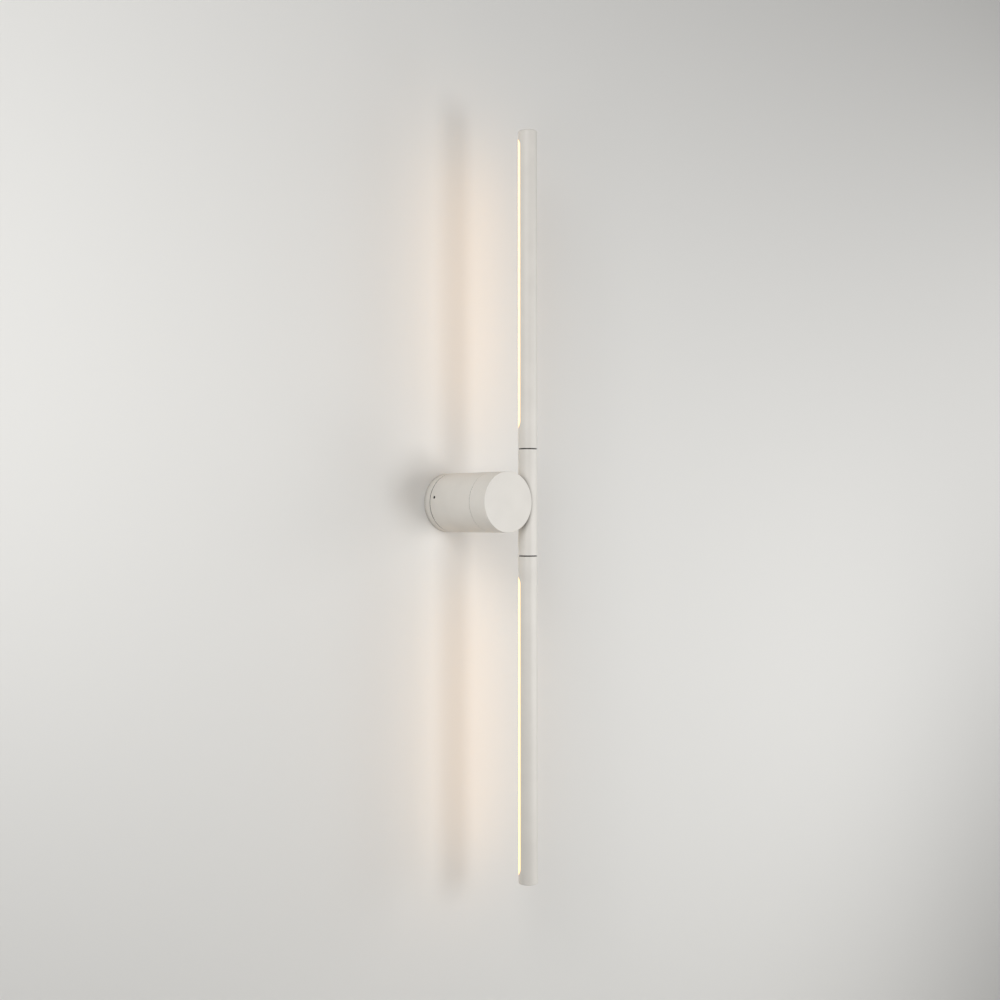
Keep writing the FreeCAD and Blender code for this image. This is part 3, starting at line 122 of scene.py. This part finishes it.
powder_coat, tree, surface, place = new_finish("satin_polyester_powder_coat", IOR=1.5)
cloud = add_node(tree, "TexNoise", {"Vector": place, "Scale": 1 / COAT_CLOUD, "Detail": 2.0})
grain = add_node(tree, "TexNoise", {"Vector": place, "Scale": 1 / COAT_GRAIN, "Detail": 1.0})
film = add_node(tree, "Math", {0: cloud, 1: grain}, operation="MULTIPLY")
thickness = add_node(
    tree, "MapRange", {"Value": film, "From Min": TWO_NOISES_SPAN[0], "From Max": TWO_NOISES_SPAN[1]},
)
tone = add_node(
    tree, "Mix", {"Factor": thickness, "A": linear(COAT_THIN), "B": linear(COAT)}, data_type="RGBA",
)
grain_spread = add_node(
    tree, "MapRange", {"Value": grain, "From Min": NOISE_SPAN[0], "From Max": NOISE_SPAN[1]},
)
gloss = add_node(
    tree, "MapRange", {"Value": grain_spread, "To Min": COAT_GLOSS[0], "To Max": COAT_GLOSS[1]},
)
off_axis = add_node(tree, "VectorMath", {0: place, 1: (1, 0, 1)}, operation="MULTIPLY")
radius = add_node(tree, "VectorMath", {0: off_axis}, operation="LENGTH").outputs["Value"]
into_room = add_node(tree, "VectorMath", {0: place, 1: (0, -1, 0)}, operation="DOT_PRODUCT")
depth = into_room.outputs["Value"]
# Painted shade: the coat darkens where the ambient-occlusion node finds other surfaces close by.
openness = add_node(tree, "AmbientOcclusion", {"Distance": PAINTED_SHADE_WITHIN}, samples=8).outputs["AO"]
unshaded = add_node(
    tree, "MapRange", {"Value": openness, "From Min": PAINTED_SHADE_SPAN[0], "From Max": PAINTED_SHADE_SPAN[1]},
)
back = add_node(tree, "Math", {0: depth, 1: PLATE_BACK}, operation="LESS_THAN")
unshaded = add_node(tree, "Math", {0: unshaded, 1: back}, operation="MAXIMUM")
tone = add_node(
    tree, "Mix", {"Factor": unshaded, "A": linear(COAT_PAINTED_SHADE), "B": tone.outputs["Result"]},
    data_type="RGBA",
)
# Painted shade: a dark band painted into each parting line.
for line, middle, half_width, reach in PAINTED_SHADE_LINES:
    shaded_band = add_node(tree, "Math", {0: depth, 1: middle, 2: half_width}, operation="COMPARE")
    within = add_node(tree, "Math", {0: radius, 1: reach}, operation="LESS_THAN")
    shaded_band = add_node(tree, "Math", {0: shaded_band, 1: within}, operation="MULTIPLY")
    shaded_band.label = line
    tone = add_node(
        tree, "Mix", {"Factor": shaded_band, "A": tone.outputs["Result"], "B": linear(PAINTED_GAP_SHADE)}, data_type="RGBA",
    )
peel = add_node(tree, "TexNoise", {"Vector": place, "Scale": 1 / COAT_PEEL, "Detail": 2.0})
peel_bump = add_node(tree, "Bump", {"Height": peel, "Distance": COAT_PEEL_RELIEF, "Strength": 0.5})
plug(tree, surface, {"Base Color": tone.outputs["Result"], "Roughness": gloss, "Normal": peel_bump})
dress(powder_coat, COATED)

# ----------------------------------------------------------------------------------------------------
# Diffusers: extruded opal PMMA, curved like the tube that it closes. Lit from behind by a row of LEDs, it
# glows warm white, a little brighter over each LED and dimmer towards the window's edges, where the light's
# way through the plastic is long.
OPAL = "#F3F0E8"
GLOW = (1.0, 0.51, 0.11)
GLOW_STRENGTH = 4.0
GLOW_AT_EDGE = 0.26
GLOW_RIPPLE = 0.06
TUBE_AXIS = (0.0467, -0.1153)
WINDOW_TURN = math.radians(18)
WINDOW_HALF = 0.0119
LED_COUNT = 24
LED_LENGTH = 0.0028

first_led, last_led = (corner.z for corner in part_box("upper_leds"))
led_pitch = (last_led - first_led - LED_LENGTH) / (LED_COUNT - 1)


def across_window(tree, place):
    """How far a point lies to the side of the middle line of its tube's window."""
    across = (math.cos(WINDOW_TURN), math.sin(WINDOW_TURN), 0)
    axis_across = TUBE_AXIS[0] * across[0] + TUBE_AXIS[1] * across[1]
    side = add_node(tree, "VectorMath", {0: place, 1: across}, operation="DOT_PRODUCT")
    return add_node(tree, "Math", {0: side.outputs["Value"], 1: axis_across}, operation="SUBTRACT")


def from_nearest_led(tree, place):
    """How far a point lies above or below the nearest LED's middle."""
    height = add_node(tree, "SeparateXYZ", {0: place}).outputs["Z"]
    height = add_node(tree, "Math", {0: height}, operation="ABSOLUTE")
    height = add_node(tree, "Math", {0: height, 1: first_led + LED_LENGTH / 2}, operation="SUBTRACT")
    return add_node(tree, "Math", {0: height, 1: led_pitch / 2, 2: -led_pitch / 2}, operation="WRAP")


opal, tree, surface, place = new_finish("satin_opal_pmma", IOR=1.49, Roughness=0.32)
side = add_node(tree, "Math", {0: across_window(tree, place), 1: WINDOW_HALF}, operation="DIVIDE")
side = add_node(tree, "Math", {0: side}, operation="ABSOLUTE")
middle = add_node(tree, "MapRange", {"Value": side, "To Min": 1.0, "To Max": GLOW_AT_EDGE})
height = from_nearest_led(tree, place)
phase = add_node(tree, "Math", {0: height, 1: 2 * math.pi / led_pitch}, operation="MULTIPLY")
wave = add_node(tree, "Math", {0: phase}, operation="COSINE")
ripple = add_node(tree, "Math", {0: wave, 1: GLOW_RIPPLE, 2: 1.0}, operation="MULTIPLY_ADD")
glow = add_node(tree, "Math", {0: middle, 1: ripple}, operation="MULTIPLY")
glow = add_node(tree, "Math", {0: glow, 1: GLOW_STRENGTH}, operation="MULTIPLY")
plug(tree, surface, {"Base Color": linear(OPAL)})
plug(tree, surface, {"Emission Color": (*GLOW, 1), "Emission Strength": glow})
dress(opal, ["upper_diffuser", "lower_diffuser"])

# ----------------------------------------------------------------------------------------------------
# LED boards: narrow strips with an aluminium core, a screen-printed white solder mask on the side of the
# LEDs and two copper tracks that stand up faintly under it. The edges and the back stay bare metal.
MASK = "#F1F1EE"
MASK_ON_TRACK = "#E9EAE6"
CORE = "#C9CBCC"
TRACK_SIDE = 0.0042
TRACK_HALF = 0.0011
TRACK_RELIEF = 0.00007
FACING = 0.9


def facing_window(tree):
    """One on the faces that look out of the tube's window, and nought on all others."""
    normal = add_node(tree, "TexCoord").outputs["Normal"]
    outwards = (-math.sin(WINDOW_TURN), math.cos(WINDOW_TURN), 0)
    facing = add_node(tree, "VectorMath", {0: normal, 1: outwards}, operation="DOT_PRODUCT")
    return add_node(tree, "Math", {0: facing.outputs["Value"], 1: FACING}, operation="GREATER_THAN")


board, tree, surface, place = new_finish("white_solder_mask_on_aluminium_core", Roughness=0.38)
side = add_node(tree, "Math", {0: across_window(tree, place)}, operation="ABSOLUTE")
track = add_node(tree, "Math", {0: side, 1: TRACK_SIDE, 2: TRACK_HALF}, operation="COMPARE")
mask = add_node(
    tree, "Mix", {"Factor": track, "A": linear(MASK), "B": linear(MASK_ON_TRACK)}, data_type="RGBA",
)
front = facing_window(tree)
tone = add_node(
    tree, "Mix", {"Factor": front, "A": linear(CORE), "B": mask.outputs["Result"]}, data_type="RGBA",
)
metal = add_node(tree, "Math", {0: 1.0, 1: front}, operation="SUBTRACT")
track_bump = add_node(tree, "Bump", {"Height": track, "Distance": TRACK_RELIEF})
plug(tree, surface, {"Base Color": tone.outputs["Result"], "Metallic": metal, "Normal": track_bump})
dress(board, ["upper_led_board", "lower_led_board"])

# ----------------------------------------------------------------------------------------------------
# LEDs: white moulded packages, reflow-soldered in a row. Each has a round window of yellow phosphor in its
# front, which shines warm white when the light is on.
LED_BODY = "#EFEFEA"
PHOSPHOR = "#E8BE4A"
PHOSPHOR_RADIUS = 0.0011
PHOSPHOR_SHINE = 1.5

led, tree, surface, place = new_finish("white_led_package_with_phosphor", Roughness=0.4)
side = across_window(tree, place)
height = from_nearest_led(tree, place)
on_face = add_node(tree, "CombineXYZ", {"X": side, "Y": height})
radius = add_node(tree, "VectorMath", {0: on_face}, operation="LENGTH").outputs["Value"]
lens = add_node(tree, "Math", {0: radius, 1: PHOSPHOR_RADIUS}, operation="LESS_THAN")
lens = add_node(tree, "Math", {0: lens, 1: facing_window(tree)}, operation="MULTIPLY")
tone = add_node(
    tree, "Mix", {"Factor": lens, "A": linear(LED_BODY), "B": linear(PHOSPHOR)}, data_type="RGBA",
)
shine = add_node(tree, "Math", {0: lens, 1: PHOSPHOR_SHINE}, operation="MULTIPLY")
plug(tree, surface, {"Base Color": tone.outputs["Result"]})
plug(tree, surface, {"Emission Color": (*GLOW, 1), "Emission Strength": shine})
dress(led, ["upper_leds", "lower_leds"])

# ----------------------------------------------------------------------------------------------------
# LED carriers and clamp bar: extruded aluminium, cut to length and left bare. The die leaves faint lines
# along the bar, which stretch the highlights crosswise. The carriers slide into the tubes, and screws pull
# the bar, and with it the middle tube, into the head.
BARE = ("#C4C6C7", "#D6D7D8")
BARE_GLOSS = (0.34, 0.46)
BARE_LINES = 0.0004
BARE_RUN = 0.02
BARE_RELIEF = 0.00001


def pattern(tree, surface, vector, tones, gloss, size, relief):
    """Lets a noise of the pattern's real size vary a surface's tone, roughness and height."""
    noise = add_node(tree, "TexNoise", {"Vector": vector, "Scale": 1 / size, "Detail": 2.0})
    spread = add_node(
        tree, "MapRange", {"Value": noise, "From Min": NOISE_SPAN[0], "From Max": NOISE_SPAN[1]},
    )
    tone = add_node(
        tree, "Mix", {"Factor": spread, "A": linear(tones[0]), "B": linear(tones[1])}, data_type="RGBA",
    )
    rough = add_node(tree, "MapRange", {"Value": spread, "To Min": gloss[0], "To Max": gloss[1]})
    bump = add_node(tree, "Bump", {"Height": noise, "Distance": relief})
    plug(tree, surface, {"Base Color": tone.outputs["Result"], "Roughness": rough, "Normal": bump})


extruded, tree, surface, place = new_finish("mill_finish_extruded_aluminium", Metallic=1.0)
along = add_node(tree, "VectorMath", {0: place, 1: (1, 1, BARE_RUN)}, operation="MULTIPLY")
pattern(tree, surface, along, BARE, BARE_GLOSS, BARE_LINES, BARE_RELIEF)
dress(extruded, ["upper_led_carrier", "lower_led_carrier", "clamp_bar"])

# ----------------------------------------------------------------------------------------------------
# Leads: two-core low-voltage leads with a soft PVC jacket, pale grey, faintly wavy from their reel. They
# are crimped or soldered to the driver and to the boards.
JACKET = ("#CBCAC5", "#D8D7D2")
JACKET_GLOSS = (0.3, 0.42)
JACKET_WAVE = 0.003
JACKET_RELIEF = 0.00006

jacket, tree, surface, place = new_finish("pale_grey_pvc_jacket", IOR=1.53)
pattern(tree, surface, place, JACKET, JACKET_GLOSS, JACKET_WAVE, JACKET_RELIEF)
dress(jacket, ["driver_leads", "head_lead", "upper_lead", "lower_lead"])

# ----------------------------------------------------------------------------------------------------
# Swivel bushes: turned black acetal collars pressed into the middle tube. Their rims are the two dark
# rings that show between the tubes. The tool's fine rings catch a thin glint.
ACETAL = ("#191817", "#242220")
ACETAL_GLOSS = (0.3, 0.42)
# Real turning marks are about 0.1 mm apart; drawn coarser so that they don't flicker.
ACETAL_LINES = 0.0003
ACETAL_RELIEF = 0.000006


def turned(tree, place, axis, centre=(0, 0, 0)):
    """A turned piece's coordinates, distance from its axis and place along it: patterns become rings."""
    from_centre = add_node(tree, "VectorMath", {0: place, 1: centre}, operation="SUBTRACT")
    sideways = [1 - part for part in axis]
    off_axis = add_node(tree, "VectorMath", {0: from_centre, 1: sideways}, operation="MULTIPLY")
    radius = add_node(tree, "VectorMath", {0: off_axis}, operation="LENGTH").outputs["Value"]
    along = add_node(tree, "VectorMath", {0: from_centre, 1: axis}, operation="DOT_PRODUCT")
    return add_node(tree, "CombineXYZ", {"X": radius, "Y": along.outputs["Value"]})


acetal, tree, surface, place = new_finish("turned_black_acetal", IOR=1.48)
rings = turned(tree, place, (0, 0, 1), (*TUBE_AXIS, 0))
pattern(tree, surface, rings, ACETAL, ACETAL_GLOSS, ACETAL_LINES, ACETAL_RELIEF)
dress(acetal, ["upper_joint_bush", "lower_joint_bush"])

# ----------------------------------------------------------------------------------------------------
# Spigots: turned brass plugs, pinned into the inner ends of the light tubes, which turn on them in the
# bushes. Bright and warm, with rings from the tool.
BRASS = ("#BE9A52", "#D2AE68")
BRASS_GLOSS = (0.22, 0.34)
BRASS_LINES = 0.0003
BRASS_RELIEF = 0.000006

brass, tree, surface, place = new_finish("turned_brass", Metallic=1.0)
rings = turned(tree, place, (0, 0, 1), (*TUBE_AXIS, 0))
pattern(tree, surface, rings, BRASS, BRASS_GLOSS, BRASS_LINES, BRASS_RELIEF)
dress(brass, ["upper_spigot", "lower_spigot"])

# ----------------------------------------------------------------------------------------------------
# Spindle and the round pieces on it: turned steel with a thin zinc plating, bluish and bright, over rings
# from the lathe. The spindle is bolted to the head, runs through the housing's bush and is held by the nut.
ZINC = ("#B9BDC0", "#CBCDCD")
TURNED_ZINC_GLOSS = (0.28, 0.38)
ZINC_LINES = 0.0004
TURNED_ZINC_RELIEF = 0.000008

turned_zinc, tree, surface, place = new_finish("zinc_plated_turned_steel", Metallic=1.0)
rings = turned(tree, place, (0, 1, 0))
pattern(tree, surface, rings, ZINC, TURNED_ZINC_GLOSS, ZINC_LINES, TURNED_ZINC_RELIEF)
dress(turned_zinc, ["pivot_spindle", "thrust_washer", "pivot_nut"])

# ----------------------------------------------------------------------------------------------------
# Screws, pillars and pins: cold-headed or turned steel, barrel-plated with zinc. Tumbling leaves them
# evenly satin with a slight cloudiness.
BARREL_ZINC_GLOSS = (0.32, 0.44)
ZINC_CLOUD = 0.0015
BARREL_ZINC_RELIEF = 0.00001

barrel_zinc, tree, surface, place = new_finish("barrel_zinc_plated_steel", Metallic=1.0)
pattern(tree, surface, place, ZINC, BARREL_ZINC_GLOSS, ZINC_CLOUD, BARREL_ZINC_RELIEF)
dress(barrel_zinc, [
    "terminal_screws", "earth_screw", "bracket_pillars", "bracket_screws", "driver_screws", "stop_pin",
    "flange_screws", "clamp_screws", "joint_stop_screws", "upper_roll_pin", "lower_roll_pin",
])

# ----------------------------------------------------------------------------------------------------
# Disc spring: pressed from spring steel, hardened and blued by the heat. Dark steel blue and a little
# oily, it sits under the nut and keeps the friction of the head's swivel.
BLUED = ("#343A46", "#4A505C")
BLUED_GLOSS = (0.28, 0.4)
BLUED_CLOUD = 0.003
BLUED_RELIEF = 0.000004

blued, tree, surface, place = new_finish("blued_spring_steel", Metallic=1.0)
pattern(tree, surface, place, BLUED, BLUED_GLOSS, BLUED_CLOUD, BLUED_RELIEF)
dress(blued, ["disc_spring"])

# ----------------------------------------------------------------------------------------------------
# Pivot bush: sintered bronze, pressed into the housing. Matt brown metal with fine dark pores that hold
# the oil. The real pores are smaller; drawn coarser so that they don't flicker.
BRONZE = "#94704A"
BRONZE_PORE = "#5E452C"
PORE = 0.0003
PORE_SPAN = (0.1, 0.35)
PORE_RELIEF = 0.00002

bronze, tree, surface, place = new_finish("oiled_sintered_bronze", Metallic=1.0, Roughness=0.5)
pores = add_node(tree, "TexVoronoi", {"Vector": place, "Scale": 1 / PORE}).outputs["Distance"]
solid = add_node(tree, "MapRange", {"Value": pores, "From Min": PORE_SPAN[0], "From Max": PORE_SPAN[1]})
tone = add_node(
    tree, "Mix", {"Factor": solid, "A": linear(BRONZE_PORE), "B": linear(BRONZE)}, data_type="RGBA",
)
pore_bump = add_node(tree, "Bump", {"Height": solid, "Distance": PORE_RELIEF, "Strength": 0.6})
plug(tree, surface, {"Base Color": tone.outputs["Result"], "Normal": pore_bump})
dress(bronze, ["pivot_bush"])

# ----------------------------------------------------------------------------------------------------
# Friction washer: punched from natural nylon sheet, waxy and slightly yellow, laid between housing and
# head, where it slides when the head turns.
NYLON = ("#DED8C8", "#E8E3D6")
NYLON_GLOSS = (0.42, 0.55)
NYLON_CLOUD = 0.002
NYLON_RELIEF = 0.00001

nylon, tree, surface, place = new_finish("natural_nylon_sheet", IOR=1.53)
pattern(tree, surface, place, NYLON, NYLON_GLOSS, NYLON_CLOUD, NYLON_RELIEF)
dress(nylon, ["friction_washer"])

# ----------------------------------------------------------------------------------------------------
# Driver bracket: folded from hot-dip galvanised steel sheet and screwed on two pillars. The zinc's
# crystals show as flat spangles, each with its own grey and its own sheen.
SPANGLE = 0.005
SPANGLE_DARK = "#9FA4A7"
SPANGLE_PALE = "#C3C6C8"
SPANGLE_GLOSS = (0.34, 0.48)

galvanised, tree, surface, place = new_finish("galvanised_sheet_steel", Metallic=1.0)
crystal = add_node(tree, "TexVoronoi", {"Vector": place, "Scale": 1 / SPANGLE}).outputs["Color"]
shade = add_node(tree, "SeparateColor", {0: crystal}).outputs["Red"]
tone = add_node(
    tree, "Mix", {"Factor": shade, "A": linear(SPANGLE_DARK), "B": linear(SPANGLE_PALE)},
    data_type="RGBA",
)
rough = add_node(
    tree, "MapRange", {"Value": shade, "To Min": SPANGLE_GLOSS[0], "To Max": SPANGLE_GLOSS[1]},
)
plug(tree, surface, {"Base Color": tone.outputs["Result"], "Roughness": rough})
dress(galvanised, ["driver_bracket"])

# ----------------------------------------------------------------------------------------------------
# LED driver and terminal block: injection-moulded cases, white polycarbonate and natural polyamide. The
# eroded moulds give them a fine even grain.
DRIVER_CASE = ("#E2E2E0", "#EAEAE8")
DRIVER_GLOSS = (0.45, 0.58)
DRIVER_RELIEF = 0.00002
TERMINAL = ("#E3E0D7", "#EDEAE2")
TERMINAL_GLOSS = (0.38, 0.5)
TERMINAL_RELIEF = 0.000015
MOULD_GRAIN = 0.00035

moulded, tree, surface, place = new_finish("spark_textured_polycarbonate", IOR=1.58)
pattern(tree, surface, place, DRIVER_CASE, DRIVER_GLOSS, MOULD_GRAIN, DRIVER_RELIEF)
dress(moulded, ["led_driver"])
polyamide, tree, surface, place = new_finish("natural_moulded_polyamide", IOR=1.53)
pattern(tree, surface, place, TERMINAL, TERMINAL_GLOSS, MOULD_GRAIN, TERMINAL_RELIEF)
dress(polyamide, ["terminal_block"])

# ----------------------------------------------------------------------------------------------------
# Cable grommet: moulded EPDM rubber, buttoned into the wall plate's cable hole. Dull black with a dusty
# bloom that makes it look soft.
RUBBER = ("#1A1918", "#2A2927")
RUBBER_GLOSS = (0.7, 0.88)
BLOOM = 0.0012
RUBBER_RELIEF = 0.00003

rubber, tree, surface, place = new_finish("black_epdm_rubber", IOR=1.5)
pattern(tree, surface, place, RUBBER, RUBBER_GLOSS, BLOOM, RUBBER_RELIEF)
dress(rubber, ["cable_grommet"])

# ----------------------------------------------------------------------------------------------------
# Set screws of the housing: hardened steel with a hexagon socket, black oxide, sunk in the flank. They
# show as a dark dot with a soft metallic sheen.
OXIDE = ("#1F1E1D", "#2E2C2A")
OXIDE_GLOSS = (0.38, 0.5)
OXIDE_CLOUD = 0.0008
OXIDE_RELIEF = 0.000006

oxide, tree, surface, place = new_finish("black_oxide_steel", Metallic=1.0)
pattern(tree, surface, place, OXIDE, OXIDE_GLOSS, OXIDE_CLOUD, OXIDE_RELIEF)
dress(oxide, ["housing_grub_screws"])

# ----------------------------------------------------------------------------------------------------
# Room: a plain painted wall with a round cable hole behind the plate, a plain floor, and soft lamps.
# Seen from behind or from below, the wall and the floor let the view through. The floor's far part, which
# the lamps no longer reach, fades into the pale backdrop.
PAINT = "#DEDDDA"
WALL_GAP = 0.0004
WALL_HOLE = 0.0385
WALL_RADIUS = 5.775
FLOOR_LEVEL = -1.15
FLOOR_SIDE = 14.0
FLOOR_FADE = (0.5, 1.9)

for made in bpy.context.selected_objects:
    made.select_set(False)
bpy.ops.mesh.primitive_circle_add(
    vertices=128, radius=WALL_HOLE, fill_type="NOTHING", location=(0, WALL_GAP, 0),
    rotation=(math.radians(90), 0, 0),
)
wall = bpy.context.object
wall.name = "room_wall"
bpy.ops.object.mode_set(mode="EDIT")
bpy.ops.mesh.select_all(action="SELECT")
bpy.ops.mesh.extrude_edges_move()
reach = WALL_RADIUS / WALL_HOLE
bpy.ops.transform.resize(value=(reach, 1, reach), center_override=(0, WALL_GAP, 0))
bpy.ops.mesh.select_all(action="SELECT")
bpy.ops.object.mode_set(mode="OBJECT")
bpy.ops.object.transform_apply(location=True, rotation=True, scale=True)
# The wall's front has to face the room.
if wall.data.polygons[0].normal.y > 0:
    bpy.ops.object.mode_set(mode="EDIT")
    bpy.ops.mesh.select_all(action="SELECT")
    bpy.ops.mesh.flip_normals()
    bpy.ops.object.mode_set(mode="OBJECT")
bpy.ops.object.select_all(action="DESELECT")
bpy.ops.mesh.primitive_plane_add(size=FLOOR_SIDE, location=(0, 0, FLOOR_LEVEL))
floor = bpy.context.object
floor.name = "room_floor"
bpy.ops.object.transform_apply(location=True, rotation=True, scale=True)

for shown in (wall, floor):
    paint, tree, surface, place = new_finish("matt_paint_" + shown.name, Roughness=0.9)
    plug(tree, surface, {"Base Color": linear(PAINT)})
    see_through = add_node(tree, "BsdfTransparent")
    geometry = add_node(tree, "NewGeometry")
    open_part = geometry.outputs["Backfacing"]
    if shown == floor:
        flat = add_node(tree, "VectorMath", {0: place, 1: (1, 1, 0)}, operation="MULTIPLY")
        distance = add_node(tree, "VectorMath", {0: flat}, operation="LENGTH").outputs["Value"]
        fade = add_node(
            tree, "MapRange", {"Value": distance, "From Min": FLOOR_FADE[0], "From Max": FLOOR_FADE[1]},
            interpolation_type="SMOOTHSTEP",
        )
        open_part = add_node(tree, "Math", {0: open_part, 1: fade}, operation="MAXIMUM")
    one_sided = add_node(tree, "MixShader", {0: open_part, 1: surface, 2: see_through})
    plug(tree, tree.nodes["Material Output"], {"Surface": one_sided})
    shown.data.materials.append(paint)

# Lamps: name, place, side in metres, power in watts. All look at the light's middle.
LAMPS = [
    ("key_softbox", (0.478, -1.589, -0.167), 0.55, 7.8),
    ("left_fill", (-0.9, -0.75, 0.05), 0.5, 2.9),
    ("left_upper_fill", (-1.2, -0.9, 0.7), 0.6, 2.4),
    ("far_upper_left_fill", (-1.5, -1.3, 1.2), 1.0, 11.8),
    ("low_right_fill", (1.0, -0.9, -0.45), 0.5, 2.7),
    ("right_fill", (1.9, -1.0, 0.2), 1.0, 9.3),
]
for name, spot, side, power in LAMPS:
    lamp = bpy.data.objects.new(name, bpy.data.lights.new(name, "AREA"))
    lamp.data.size = side
    lamp.data.energy = power
    lamp.location = spot
    lamp.rotation_euler = (-lamp.location).to_track_quat("-Z", "Y").to_euler()
    bpy.context.scene.collection.objects.link(lamp)

# The world fills the shadows; what the camera itself sees past the wall is plain and pale.
WHITE = "#FFFFFF"
AMBIENT = 0.2
BACKDROP = 0.72
world = bpy.data.worlds.new("pale_room")
bpy.context.scene.world = world
world.use_nodes = True
backdrop = world.node_tree.nodes["Background"]
seen = add_node(world.node_tree, "LightPath").outputs["Is Camera Ray"]
strength = add_node(world.node_tree, "MapRange", {"Value": seen, "To Min": AMBIENT, "To Max": BACKDROP})
plug(world.node_tree, backdrop, {"Color": linear(WHITE), "Strength": strength})

# ----------------------------------------------------------------------------------------------------
# Plain view transform.
bpy.context.scene.view_settings.view_transform = "Standard"
